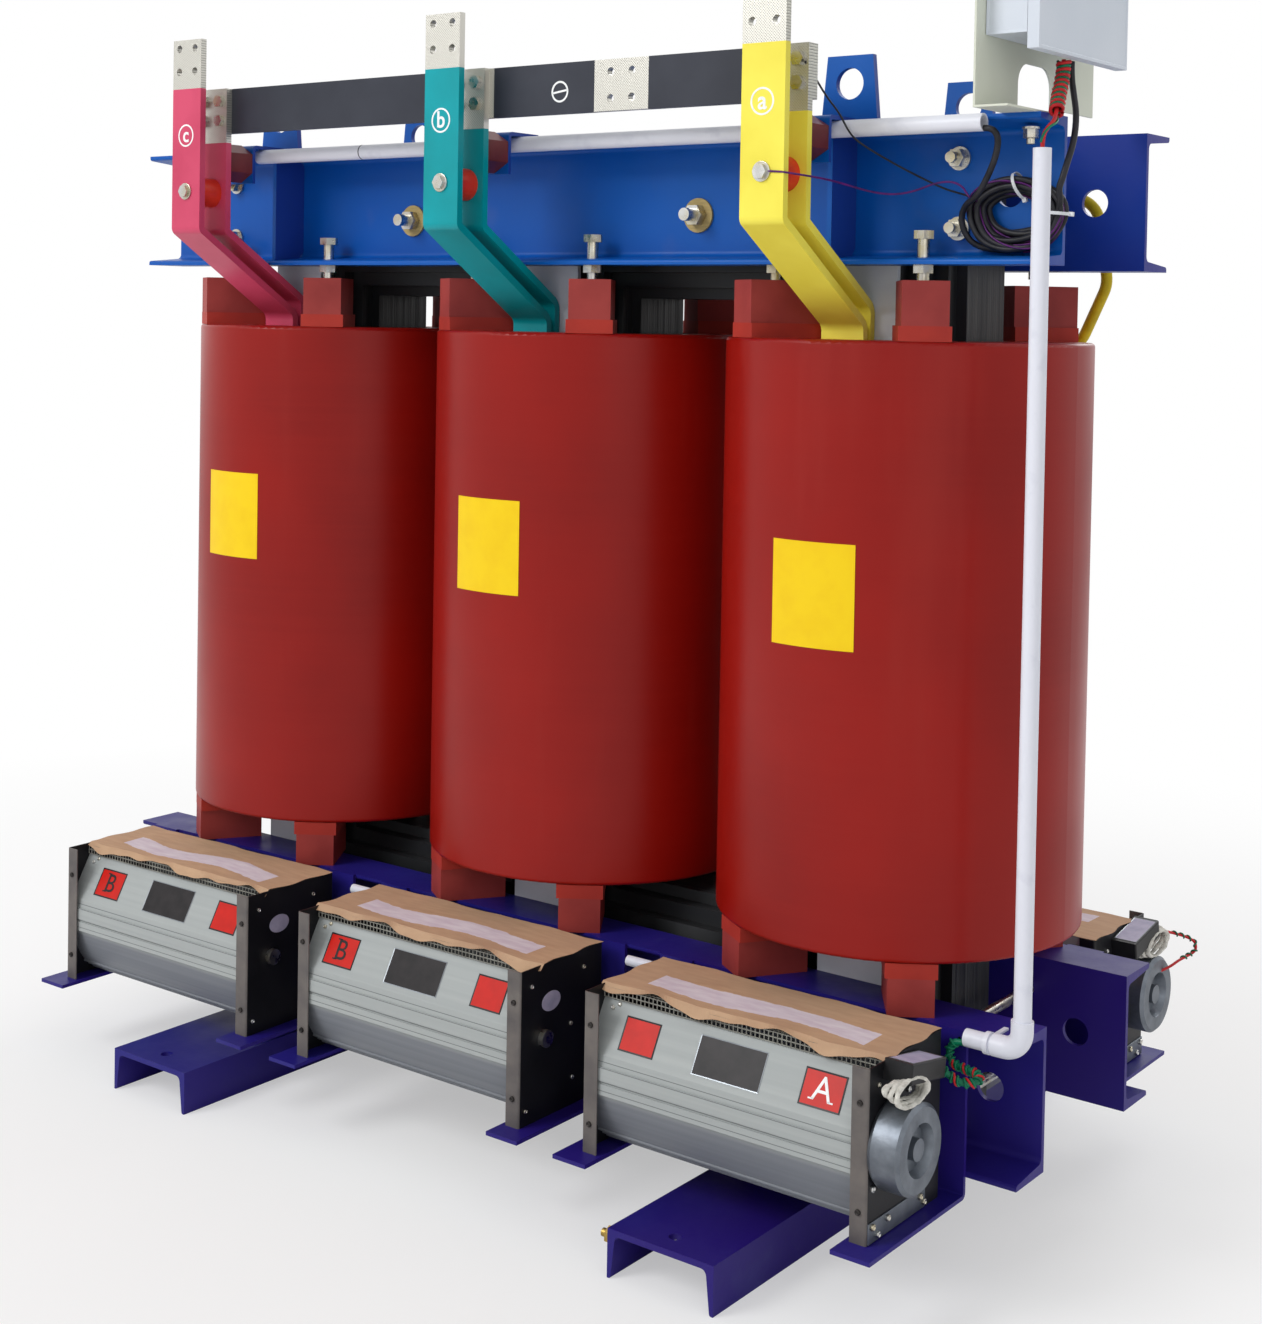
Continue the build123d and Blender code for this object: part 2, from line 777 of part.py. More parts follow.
# Bolts that join the star-point bars to the neutral bar
bar_places = [x + bar_offset for x in phases.values()]
with BuildPart() as star_bolts:
    for bar_x in bar_places:
        bolt_plane = Plane(origin=(bar_x, -star_front, neutral_z), x_dir=(1, 0, 0), z_dir=(0, -1, 0))
        with BuildSketch(bolt_plane):
            with GridLocations(terminal_hole_spacing, star_bolt_spacing, 2, 2):
                RegularPolygon(bar_nut_af / 2, 6, major_radius=False)
        extrude(amount=bar_nut_height)
        with BuildSketch(bolt_plane):
            with GridLocations(terminal_hole_spacing, star_bolt_spacing, 2, 2):
                Circle(star_bolt_dia / 2)
        extrude(amount=-2 * bar_thickness)
        with BuildSketch(bolt_plane.offset(-2 * bar_thickness)):
            with GridLocations(terminal_hole_spacing, star_bolt_spacing, 2, 2):
                RegularPolygon(bar_nut_af / 2, 6, major_radius=False)
        extrude(amount=-bar_nut_height)
star_bolts.part.label = "star_bolts"
export_step(star_bolts.part, "parts/star_bolts.step")

# Round spacers and the bolts that tie each line bar to its star-point bar
with BuildPart() as spacers:
    with BuildSketch(Plane.XZ.offset(star_front)):
        for bar_x in bar_places:
            with Locations((bar_x, bar_bolt_z)):
                Circle(spacer_dia / 2)
                Circle(bar_bolt_dia / 2, mode=Mode.SUBTRACT)
    extrude(amount=bar_gap)
spacers.part.label = "bar_spacers"
export_step(spacers.part, "parts/bar_spacers.step")

with BuildPart() as bar_bolts:
    with BuildSketch(Plane.XZ.offset(star_back)):
        for bar_x in bar_places:
            with Locations((bar_x, bar_bolt_z)):
                Circle(bar_bolt_dia / 2)
    extrude(amount=bar_front - star_back)
    with BuildSketch(Plane.XZ.offset(bar_front)):
        for bar_x in bar_places:
            with Locations((bar_x, bar_bolt_z)):
                RegularPolygon(bar_nut_af / 2, 6, major_radius=False)
    extrude(amount=bar_nut_height)
    with BuildSketch(Plane.XZ.offset(star_back)):
        for bar_x in bar_places:
            with Locations((bar_x, bar_bolt_z)):
                RegularPolygon(bar_nut_af / 2, 6, major_radius=False)
    extrude(amount=-bar_nut_height)
bar_bolts.part.label = "bar_bolts"
export_step(bar_bolts.part, "parts/bar_bolts.step")

# Post insulators between the star-point bars and the angle brackets on the clamp
insulator_back = star_back - insulator_length
with BuildPart() as insulators:
    with BuildSketch(Plane.XZ.offset(star_back)):
        for bar_x in bar_places:
            with Locations((bar_x, insulator_z)):
                RegularPolygon(insulator_dia / 2, 6, major_radius=False, rotation=30)
    extrude(amount=-insulator_length)
insulators.part.label = "post_insulators"
export_step(insulators.part, "parts/post_insulators.step")

bracket_top = top_clamp_top + insulator_bracket_thickness
with BuildPart() as insulator_brackets:
    for bar_x in bar_places:
        with BuildSketch(Plane.YZ.offset(bar_x)):
            with BuildLine():
                FilletPolyline(
                    (-flange_middle - lug_thickness, bracket_top),
                    (-insulator_back, bracket_top),
                    (-insulator_back, bracket_top - insulator_bracket_drop),
                    radius=insulator_bracket_thickness * 1.5,
                )
                offset(amount=insulator_bracket_thickness, side=Side.LEFT)
            make_face()
        extrude(amount=insulator_bracket_width / 2, both=True)
insulator_brackets.part.label = "insulator_brackets"
export_step(insulator_brackets.part, "parts/insulator_brackets.step")

# Cross-flow fans, three under each face of the coils: folded end plates
fan_pitch = phase_pitch - fan_pitch_step
fan_places = [fan_shift + step * fan_pitch for step in (-1, 0, 1)]
fan_seats = [(fan_x, side) for side in (-1, 1) for fan_x in fan_places]
block_turn = radians(block_angle)
block_reach = block_outer * cos(block_turn) + block_foot_width / 2 * sin(block_turn)
fan_back = block_reach + fan_block_clearance
fan_front = fan_back + fan_depth
fan_base = bottom_clamp_base - fan_drop
fan_top = fan_base + fan_height
fan_axis_y = fan_front - fan_axis_inset
fan_axis_z = fan_base + fan_axis_height
bracket_reach = fan_front + bracket_tip
half_fan = fan_length / 2
shell_front = fan_front - plate_thickness - shell_clearance
shell_back = fan_back + plate_thickness + shell_clearance
with BuildPart() as end_plates:
    for fan_x, side in fan_seats:
        for end in (-1, 1):
            with BuildSketch(Plane.XY.offset(fan_base)):
                with BuildLine():
                    FilletPolyline(
                        (fan_x + end * (half_fan - plate_flange), side * fan_front),
                        (fan_x + end * half_fan, side * fan_front),
                        (fan_x + end * half_fan, side * fan_back),
                        (fan_x + end * (half_fan - plate_flange), side * fan_back),
                        radius=plate_thickness * 2,
                    )
                    turn_side = Side.LEFT if side * end < 0 else Side.RIGHT
                    offset(amount=plate_thickness, side=turn_side)
                make_face()
            extrude(amount=fan_height)
end_plates.part.label = "fan_end_plates"
export_step(end_plates.part, "parts/fan_end_plates.step")

# Extruded fan shells: front panel with a slanted face and a rounded belly, plain back panel
with BuildPart() as shells:
    for fan_x, side in fan_seats:
        shell_plane = Plane(origin=(fan_x, 0, 0), x_dir=(0, side, 0), z_dir=(side, 0, 0))
        with BuildSketch(shell_plane):
            with BuildLine():
                Polyline(
                    (shell_front - face_slant, fan_top - face_top_gap),
                    (shell_front - brow_depth, fan_axis_z + brow_height),
                    (shell_front, fan_axis_z),
                )
                ThreePointArc(
                    (shell_front, fan_axis_z),
                    (shell_front - belly_depth, fan_axis_z - belly_drop),
                    (shell_front - chin_depth, fan_base + chin_height),
                )
                Line(
                    (shell_front - chin_depth, fan_base + chin_height),
                    (shell_front - lip_depth, fan_base),
                )
                offset(amount=shell_wall, side=Side.RIGHT)
            make_face()
            band_centre = shell_front + (band_proud - shell_wall) / 2
            with Locations((band_centre, fan_axis_z + band_rise - band_height / 2)):
                Rectangle(band_proud + shell_wall, band_height)
            with Locations((shell_front - shell_wall / 2, fan_axis_z - strip_drop - strip_height / 2)):
                Rectangle(band_proud + shell_wall, strip_height)
            for step in (0, 1, 2):
                lip_y = shell_front - chin_depth - step * (lip_depth - chin_depth) / 3
                with Locations((lip_y, fan_base + chin_height - step * chin_height / 3)):
                    Circle(lip_ridge_dia / 2)
        extrude(amount=half_fan - plate_thickness, both=True)
        with BuildSketch(shell_plane):
            with BuildLine():
                Line((shell_back, fan_top), (shell_back, fan_axis_z))
                ThreePointArc(
                    (shell_back, fan_axis_z),
                    (shell_back + tail_bulge, fan_axis_z - tail_middle),
                    (shell_back + tail_depth, fan_axis_z - tail_drop),
                )
                offset(amount=shell_wall, side=Side.LEFT)
            make_face()
        extrude(amount=half_fan - plate_thickness, both=True)
shells.part.label = "fan_shells"
export_step(shells.part, "parts/fan_shells.step")

# Fan impellers with their shafts through the end plates
with BuildPart() as impellers:
    for fan_x, side in fan_seats:
        axis_plane = Plane(
            origin=(fan_x, side * fan_axis_y, fan_axis_z), x_dir=(0, 1, 0), z_dir=(1, 0, 0)
        )
        with BuildSketch(axis_plane):
            Circle(impeller_dia / 2)
        extrude(amount=half_fan - plate_thickness - impeller_clearance, both=True)
        with BuildSketch(axis_plane):
            Circle(shaft_dia / 2)
        extrude(amount=half_fan - plate_thickness, both=True)
impellers.part.label = "fan_impellers"
export_step(impellers.part, "parts/fan_impellers.step")

# Fan brackets: bent straps that hang from the clamp and carry the fans' ends
with BuildPart() as fan_brackets:
    for fan_x, side in fan_seats:
        for end in (-1, 1):
            strap_x = fan_x + end * (half_fan + bracket_overlap - bracket_width / 2)
            with BuildSketch(Plane(origin=(strap_x, 0, 0), x_dir=(0, side, 0), z_dir=(side, 0, 0))):
                with BuildLine():
                    FilletPolyline(
                        (clamp_edge, bottom_clamp_top),
                        (clamp_edge, fan_base - bracket_thickness),
                        (bracket_reach, fan_base - bracket_thickness),
                        radius=bracket_thickness * 1.5,
                    )
                    offset(amount=bracket_thickness, side=Side.LEFT)
                make_face()
            extrude(amount=bracket_width / 2, both=True)
fan_brackets.part.label = "fan_brackets"
export_step(fan_brackets.part, "parts/fan_brackets.step")

# Fan motors on the right-hand fans: round castings with a recessed face
motor_x = fan_places[-1] + half_fan
with BuildPart() as motors:
    for side in (-1, 1):
        motor_plane = Plane(
            origin=(motor_x, side * fan_axis_y, fan_axis_z), x_dir=(0, 0, 1), z_dir=(0, -1, 0)
        )
        with BuildSketch(motor_plane):
            with BuildLine():
                Polyline(
                    (0, 0),
                    (motor_dia / 2 - 4, 0),
                    (motor_dia / 2, -6),
                    (motor_dia / 2, -motor_length + 5),
                    (motor_dia / 2 - 5, -motor_length),
                    (motor_hub_dia / 2 + 6, -motor_length),
                    (motor_hub_dia / 2, -motor_length + motor_recess),
                    (motor_hub_dia / 4, -motor_length + motor_recess),
                    (motor_hub_dia / 4, -motor_length + 3),
                    (0, -motor_length + 3),
                    close=True,
                )
            make_face()
        revolve(axis=Axis((motor_x, side * fan_axis_y, fan_axis_z), (1, 0, 0)))
motors.part.label = "fan_motors"
export_step(motors.part, "parts/fan_motors.step")

# Motor capacitors: tilted boxes above the motors, against the end plates
with BuildPart() as capacitors:
    for side in (-1, 1):
        box_place = Location(
            (
                motor_x + capacitor_width / 2,
                side * (fan_front - capacitor_inset),
                fan_top - capacitor_drop,
            ),
            (side * capacitor_tilt, 0, 0),
        )
        with Locations(box_place):
            Box(capacitor_width, capacitor_length, capacitor_height)
    fillet(capacitors.edges().group_by(Axis.X)[-1], 3)
capacitors.part.label = "fan_capacitors"
export_step(capacitors.part, "parts/fan_capacitors.step")

# Bearing bosses on the ends without a motor
with BuildPart() as bosses:
    for side in (-1, 1):
        for fan_x in fan_places[:-1]:
            boss_plane = Plane(
                origin=(fan_x + half_fan, side * fan_axis_y, fan_axis_z),
                x_dir=(0, 1, 0),
                z_dir=(1, 0, 0),
            )
            with BuildSketch(boss_plane):
                Circle(boss_dia / 2)
            extrude(amount=boss_length)
bosses.part.label = "fan_bearings"
export_step(bosses.part, "parts/fan_bearings.step")

# Controller bracket: upright folded sheet with an arched window, bolted to the top clamp
hang_edge = top_clamp_top + 18
controller_x = clamp_end - controller_inset
controller_base = top_clamp_top + controller_rise
sheet_top = top_clamp_top + sheet_height
with BuildPart() as controller_bracket:
    with BuildSketch(Plane.YZ.offset(controller_x - bracket_sheet)):
        with BuildLine():
            Polyline(
                (-sheet_front, top_clamp_top),
                (-web_inner, top_clamp_top),
                (-web_inner, hang_edge),
                (-sheet_back, hang_edge),
                (-sheet_back, sheet_top),
                (-sheet_front, sheet_top),
                close=True,
            )
        make_face()
        with Locations((-window_front + window_width / 2, top_clamp_top + 12 + window_height / 2)):
            Rectangle(window_width, window_height, mode=Mode.SUBTRACT)
    extrude(amount=bracket_sheet)
    window_corners = controller_bracket.edges().filter_by(Axis.X).filter_by_position(
        Axis.Z, top_clamp_top + 11 + window_height, top_clamp_top + 13 + window_height
    )
    fillet(window_corners, window_corner)
    with BuildSketch(Plane.XY.offset(top_clamp_top)):
        with Locations((controller_x + sheet_foot / 2, -(sheet_front + web_inner) / 2)):
            Rectangle(sheet_foot, sheet_front - web_inner)
    extrude(amount=bracket_sheet)
controller_bracket.part.label = "controller_bracket"
export_step(controller_bracket.part, "parts/controller_bracket.step")

with BuildPart() as controller:
    with BuildSketch(Plane.XY.offset(controller_base)):
        with Locations(
            (controller_x + controller_depth / 2, -controller_back_edge - controller_width / 2)
        ):
            Rectangle(controller_depth, controller_width)
    extrude(amount=controller_height)
controller.part.label = "controller_box"
export_step(controller.part, "parts/controller_box.step")

# White conduit: a straight run under the top flange, and a riser that turns along the bottom clamp
top_conduit_left = -outer_phase - top_conduit_start
top_conduit_right = clamp_end - top_conduit_inset
riser_x = clamp_end + riser_gap
riser_top = top_clamp_top - riser_drop
run_end = clamp_end - run_inset
top_conduit_z = top_clamp_top - conduit_dia / 2
conduit_y = clamp_edge + conduit_dia / 2
riser_y = conduit_y + elbow_wall
with BuildPart() as top_conduit:
    with BuildSketch(Plane.YZ.offset(top_conduit_left)):
        with Locations((-conduit_y, top_conduit_z)):
            Circle(conduit_dia / 2)
            Circle(conduit_bore / 2, mode=Mode.SUBTRACT)
    extrude(amount=top_conduit_right - top_conduit_left)
top_conduit.part.label = "top_conduit"
export_step(top_conduit.part, "parts/top_conduit.step")

run_z = bottom_clamp_top - clamp_toe / 2
with BuildPart() as riser_conduit:
    with BuildLine() as riser_path:
        FilletPolyline(
            (riser_x, -riser_y, riser_top),
            (riser_x, -riser_y, run_z),
            (run_end, -riser_y, run_z),
            radius=conduit_elbow,
        )
    with BuildSketch(Plane(origin=(riser_x, -riser_y, riser_top), z_dir=(0, 0, -1))):
        Circle(conduit_dia / 2)
        Circle(conduit_bore / 2, mode=Mode.SUBTRACT)
    sweep(path=riser_path.line)
riser_conduit.part.label = "riser_conduit"
export_step(riser_conduit.part, "parts/riser_conduit.step")

# Elbow fitting over the riser's bend, and the clip that ties the run to the clamp
with BuildPart() as conduit_fittings:
    with BuildLine() as elbow_path:
        FilletPolyline(
            (riser_x, -riser_y, run_z + conduit_elbow + elbow_grip),
            (riser_x, -riser_y, run_z),
            (riser_x - conduit_elbow - elbow_grip, -riser_y, run_z),
            radius=conduit_elbow,
        )
    elbow_mouth = Plane(
        origin=(riser_x, -riser_y, run_z + conduit_elbow + elbow_grip), z_dir=(0, 0, -1)
    )
    with BuildSketch(elbow_mouth):
        Circle(conduit_dia / 2 + elbow_wall)
        Circle(conduit_dia / 2, mode=Mode.SUBTRACT)
    sweep(path=elbow_path.line)
    clip_x = clamp_end - clip_inset - conduit_dia
    with BuildSketch(Plane.YZ.offset(clip_x)):
        with Locations((-riser_y, run_z)):
            Circle(conduit_dia / 2 + elbow_wall)
            Circle(conduit_dia / 2, mode=Mode.SUBTRACT)
    extrude(amount=clip_width)
    with BuildSketch(Plane.YZ.offset(clip_x)):
        with Locations((-clamp_edge + conduit_dia * 0.72, bottom_clamp_top + elbow_wall / 2)):
            Rectangle(conduit_dia * 1.6, elbow_wall)
    extrude(amount=clip_width)
conduit_fittings.part.label = "conduit_fittings"
export_step(conduit_fittings.part, "parts/conduit_fittings.step")


def soft_radii(points):
    """Bend radius at each corner of a cable's route: as large as its two runs allow."""
    radii = []
    for before, corner, after in zip(points, points[1:], points[2:]):
        run_in = Vector(*corner) - Vector(*before)
        run_out = Vector(*after) - Vector(*corner)
        half_turn = radians(run_in.get_angle(run_out) / 2)
        radii.append(0.45 * min(run_in.length, run_out.length) / tan(half_turn))
    return radii


# Control cable: out of the top conduit, through an oval hank of spare length, to the controller
hank_x = clamp_end + hank_end_gap - hank_length / 2
hank_z = top_clamp_base + hank_lift + hank_height / 2
hank_back = web_outer + hank_stand_off
hank_front = hank_back + hank_depth
with BuildPart() as hank:
    with BuildSketch(Plane.XZ.offset(hank_back)):
        with Locations((hank_x, hank_z)):
            Ellipse(hank_length / 2, hank_height / 2)
            Ellipse(hank_length / 2 - hank_band, hank_height / 2 - hank_band, mode=Mode.SUBTRACT)
    extrude(amount=hank_depth)
hank.part.label = "cable_hank"
export_step(hank.part, "parts/cable_hank.step")

cable_routes = {
    "sensor_cable": (
        cable_dia,
        [
            (842, -235.5, 1606.5),
            (853, -235.5, 1606.5),
            (862, -234, 1597),
            (861, -230, 1582),
            (853, -224, 1562),
            (835, -213, 1536),
            (814, -203, 1512),
            (802, -197, 1491),
            (801, -189, 1484),
            (801, -176, 1484),
        ],
    ),
    "controller_cable": (
        cable_dia,
        [
            (908, -176, 1506),
            (908, -190, 1506),
            (916, -198, 1513),
            (929, -195, 1530),
            (937, -180, 1558),
            (940, -160, 1590),
            (935, -142, 1628),
            (925, -133, 1662),
            (920, -130, 1685),
            (920, -130, 1704),
        ],
    ),
    "sensing_wire": (
        wire_dia,
        [
            (597, -396.5, 1544),
            (616, -396.5, 1543),
            (628, -391, 1541),
            (632, -370, 1540),
            (633, -335, 1539),
            (636, -298, 1537),
            (647, -263, 1531),
            (665, -232, 1523),
            (688, -207, 1520),
            (712, -190, 1526),
            (737, -181, 1537),
            (762, -177, 1540),
            (782, -180, 1532),
            (793, -187, 1520),
            (800, -186, 1512),
            (802, -176.3, 1512),
        ],
    ),
    "fan_harness": (
        harness_dia,
        [
            (847, -238.5, 344.5),
            (839, -238.5, 344.5),
            (833, -240, 335),
            (840, -242, 325),
            (858, -244, 321),
            (878, -249, 320),
            (892, -258, 317),
            (893, -270, 312),
            (880, -281, 308),
            (863, -287, 308),
            (848, -289, 315),
            (838, -294, 326),
            (838, -304, 334.3),
            (838, -317.6, 336.7),
        ],
    ),
}
for name, (dia, route) in cable_routes.items():
    radii = soft_radii(route)
    with BuildPart() as cable:
        with BuildLine() as cable_path:
            FilletPolyline(*route, radius=radii)
        first_run = Vector(*route[1]) - Vector(*route[0])
        with BuildSketch(Plane(origin=route[0], z_dir=first_run)):
            Circle(dia / 2)
        sweep(path=cable_path.line)
    length = sum(edge.length for edge in cable_path.edges())
    print(name, "radii", [round(radius, 1) for radius in radii], "length", round(length, 1))
    print(name, "volume", round(cable.part.volume), "of", round(length * 3.14159 * dia**2 / 4))
    cable.part.label = name
    export_step(cable.part, f"parts/{name}.step")

# Earthing bolt on the right-hand rail
earth_y = rail_length / 2 - 14
with BuildPart() as earth_bolt:
    with BuildSketch(Plane(origin=((rail_gauge - rail_width) / 2, -earth_y, rail_height - 16), z_dir=(-1, 0, 0))):
        RegularPolygon(11, 6, major_radius=False)
    extrude(amount=8)
    with BuildSketch(Plane(origin=((rail_gauge - rail_width) / 2, -earth_y, rail_height - 16), z_dir=(-1, 0, 0))):
        Circle(6)
    extrude(amount=18)
earth_bolt.part.label = "earth_bolt"
export_step(earth_bolt.part, "parts/earth_bolt.step")
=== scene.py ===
from math import cos, pi, radians, sin

import bpy
from mathutils import Matrix, Vector


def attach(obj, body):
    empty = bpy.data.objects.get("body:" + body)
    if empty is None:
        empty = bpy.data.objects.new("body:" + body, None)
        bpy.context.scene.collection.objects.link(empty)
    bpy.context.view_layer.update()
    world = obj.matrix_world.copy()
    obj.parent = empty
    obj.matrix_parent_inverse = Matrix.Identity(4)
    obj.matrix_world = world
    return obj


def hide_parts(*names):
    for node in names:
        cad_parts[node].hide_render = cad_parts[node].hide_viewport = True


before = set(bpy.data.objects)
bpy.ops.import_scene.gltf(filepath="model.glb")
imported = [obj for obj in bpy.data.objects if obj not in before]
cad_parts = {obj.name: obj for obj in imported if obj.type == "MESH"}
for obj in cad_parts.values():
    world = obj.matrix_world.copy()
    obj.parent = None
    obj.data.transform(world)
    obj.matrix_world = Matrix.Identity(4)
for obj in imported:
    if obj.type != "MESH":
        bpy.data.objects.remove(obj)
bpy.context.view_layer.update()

bpy.ops.object.select_all(action="DESELECT")
scene = bpy.context.scene
scene.view_settings.view_transform = "Standard"

# Camera
# It stands to the right of the transformer's low-voltage side, at about chest height, and looks
# almost level. The frame reaches further down than up, which the vertical shift gives.
camera_place = Vector((2.1215, -2.718, 1.3435))
camera_yaw = radians(37.10)
camera_pitch = radians(1.549)
camera_roll = radians(0.998)
frame_height = 1324
focal_pixels = 2006.14
frame_drop = 293.5
level_ahead = Vector((-sin(camera_yaw), cos(camera_yaw), 0))
level_right = Vector((cos(camera_yaw), sin(camera_yaw), 0))
upright = Vector((0, 0, 1))
ahead = level_ahead * cos(camera_pitch) - upright * sin(camera_pitch)
lifted = upright * cos(camera_pitch) + level_ahead * sin(camera_pitch)
camera_right = level_right * cos(camera_roll) + lifted * sin(camera_roll)
camera_up = lifted * cos(camera_roll) - level_right * sin(camera_roll)
camera_data = bpy.data.cameras.new("camera")
camera_data.sensor_width = 36
camera_data.lens = focal_pixels / frame_height * camera_data.sensor_width
camera_data.shift_y = -frame_drop / frame_height
camera_data.clip_end = 100
camera = bpy.data.objects.new("camera", camera_data)
turn = Matrix((camera_right, camera_up, -ahead)).transposed()
camera.matrix_world = Matrix.Translation(camera_place) @ turn.to_4x4()
scene.collection.objects.link(camera)
scene.camera = camera


# Shader arithmetic
# A finish is a new material. Its numbers that vary over the surface are written as plain sums,
# and every colour is given as it looks on screen.
class Varying:
    """A number or colour that varies over the surface, as the socket that carries it."""

    def __init__(self, finish, socket):
        self.finish = finish
        self.socket = socket

    def __add__(self, other):
        return self.finish.sum("ADD", self, other)

    def __radd__(self, other):
        return self.finish.sum("ADD", other, self)

    def __sub__(self, other):
        return self.finish.sum("SUBTRACT", self, other)

    def __mul__(self, other):
        return self.finish.sum("MULTIPLY", self, other)

    def __gt__(self, other):
        return self.finish.sum("GREATER_THAN", self, other)

    def __lt__(self, other):
        return self.finish.sum("LESS_THAN", self, other)

    def __abs__(self):
        return self.finish.sum("ABSOLUTE", self, 0)


def shown(red, green, blue):
    """Linear colour for the 0 to 255 values that it has on screen."""
    steps = [value / 255 for value in (red, green, blue)]
    return (*[s / 12.92 if s <= 0.04045 else ((s + 0.055) / 1.055) ** 2.4 for s in steps], 1)


class Finish:
    """A new material whose nodes are added one by one."""

    def __init__(self, name, roughness=0.5, metallic=0.0, specular=0.25):
        self.material = bpy.data.materials.new(name)
        self.material.use_nodes = True
        self.tree = self.material.node_tree
        self.shader = self.tree.nodes["Principled BSDF"]
        self.shader.inputs["Roughness"].default_value = roughness
        self.shader.inputs["Metallic"].default_value = metallic
        self.shader.inputs["Specular IOR Level"].default_value = specular
        self.place = self.node("ShaderNodeTexCoord", "Object")
        parts = self.tree.nodes.new("ShaderNodeSeparateXYZ")
        self.tree.links.new(self.place.socket, parts.inputs[0])
        self.x = Varying(self, parts.outputs[0])
        self.y = Varying(self, parts.outputs[1])
        self.z = Varying(self, parts.outputs[2])

    def node(self, kind, output, settings=(), inputs=()):
        made = self.tree.nodes.new(kind)
        for key, value in dict(settings).items():
            setattr(made, key, value)
        for key, value in dict(inputs).items():
            self.feed(made.inputs[key], value)
        return Varying(self, made.outputs[output])

    def feed(self, socket, value):
        if isinstance(value, Varying):
            self.tree.links.new(value.socket, socket)
        else:
            socket.default_value = value

    def sum(self, operation, first, second):
        return self.node("ShaderNodeMath", 0, {"operation": operation}, {0: first, 1: second})

    def wave(self, value):
        return self.node("ShaderNodeMath", 0, {"operation": "SINE"}, {0: value})

    def both(self, first, second):
        return self.sum("MINIMUM", first, second)

    def either(self, first, second):
        return self.sum("MAXIMUM", first, second)

    def ramp(self, value, low, high, start=0.0, end=1.0):
        """Runs from start to end while the value runs from low to high."""
        ends = {0: value, 1: low, 2: high, 3: start, 4: end}
        return self.node("ShaderNodeMapRange", 0, {"clamp": True}, ends)

    def noise(self, scale, detail=4.0, stretch=(1, 1, 1)):
        """Cloudy value about one half; a stretch above 1 squeezes it along that axis."""
        mapped = self.node(
            "ShaderNodeMapping", 0, {}, {"Vector": self.place, "Scale": tuple(stretch)}
        )
        return self.node(
            "ShaderNodeTexNoise", 0, {}, {"Vector": mapped, "Scale": scale, "Detail": detail}
        )

    def mix(self, share, first, second):
        """Colour that goes from the first to the second as the share goes from 0 to 1."""
        return self.node(
            "ShaderNodeMix", 2, {"data_type": "RGBA"}, {0: share, 6: first, 7: second}
        )

    def colour(self, value):
        self.feed(self.shader.inputs["Base Color"], value)

    def rough(self, value):
        self.feed(self.shader.inputs["Roughness"], value)

    def metal(self, value):
        self.feed(self.shader.inputs["Metallic"], value)

    def bump(self, height, depth, strength=1.0):
        """Raises the surface by the height times the depth in metres."""
        normal = self.node(
            "ShaderNodeBump", 0, {}, {"Height": height, "Distance": depth, "Strength": strength}
        )
        self.feed(self.shader.inputs["Normal"], normal)


def dress(finish, *nodes):
    """Gives CAD nodes their finish."""
    for name in nodes:
        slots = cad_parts[name].data.materials
        slots.clear()
        slots.append(finish.material)


# Floor and light
# Plain pale floor and a white surround. Two soft lamps light the object evenly, the stronger from
# above the front left, so that the ends that face right lie in half shade.
bpy.ops.mesh.primitive_plane_add(size=60)
floor = bpy.context.object
floor.name = "floor"
paper_white = (0.93, 0.93, 0.93, 1)
floor_finish = Finish("floor_paper", roughness=0.9, specular=0.1)
floor_finish.colour(floor_finish.mix(floor_finish.noise(0.5), paper_white, (0.9, 0.9, 0.9, 1)))
reach = floor_finish.x * floor_finish.x + floor_finish.y * floor_finish.y
seen_by_camera = floor_finish.node("ShaderNodeLightPath", "Is Camera Ray")
far_white = floor_finish.ramp(reach, 1.0, 9.0, 0.45, 1.0) * seen_by_camera
glow = floor_finish.node("ShaderNodeEmission", 0, {}, {"Color": (1, 1, 1, 1), "Strength": 1.0})
blend = floor_finish.tree.nodes.new("ShaderNodeMixShader")
floor_finish.feed(blend.inputs[0], far_white)
floor_finish.tree.links.new(floor_finish.shader.outputs[0], blend.inputs[1])
floor_finish.tree.links.new(glow.socket, blend.inputs[2])
floor_finish.tree.links.new(
    blend.outputs[0], floor_finish.tree.nodes["Material Output"].inputs["Surface"]
)
floor.data.materials.append(floor_finish.material)

world = bpy.data.worlds.new("surround")
scene.world = world
world.use_nodes = True
background = world.node_tree.nodes["Background"]
path = world.node_tree.nodes.new("ShaderNodeLightPath")
strength = world.node_tree.nodes.new("ShaderNodeMapRange")
ambient_level = 0.62
surround_level = 1.0
strength.inputs[3].default_value = ambient_level
strength.inputs[4].default_value = surround_level
seen = world.node_tree.nodes.new("ShaderNodeMath")
seen.operation = "MAXIMUM"
world.node_tree.links.new(path.outputs["Is Camera Ray"], seen.inputs[0])
world.node_tree.links.new(path.outputs["Is Glossy Ray"], seen.inputs[1])
world.node_tree.links.new(seen.outputs[0], strength.inputs[0])
world.node_tree.links.new(strength.outputs[0], background.inputs["Strength"])
background.inputs["Color"].default_value = (1, 1, 1, 1)

for lamp_name, place, size, power in (
    ("key_lamp", (-2.2, -5.0, 4.6), 2.6, 190),
    ("fill_lamp", (4.6, -3.4, 2.6), 2.4, 20),
    ("rear_lamp", (0.5, 5.2, 4.2), 3.0, 110),
):
    lamp_data = bpy.data.lights.new(lamp_name, "AREA")
    lamp_data.size = size
    lamp_data.energy = power
    lamp = bpy.data.objects.new(lamp_name, lamp_data)
    lamp.location = place
    aim = Vector((0, 0, 0.9)) - Vector(place)
    lamp.rotation_euler = aim.to_track_quat("-Z", "Y").to_euler()
    scene.collection.objects.link(lamp)


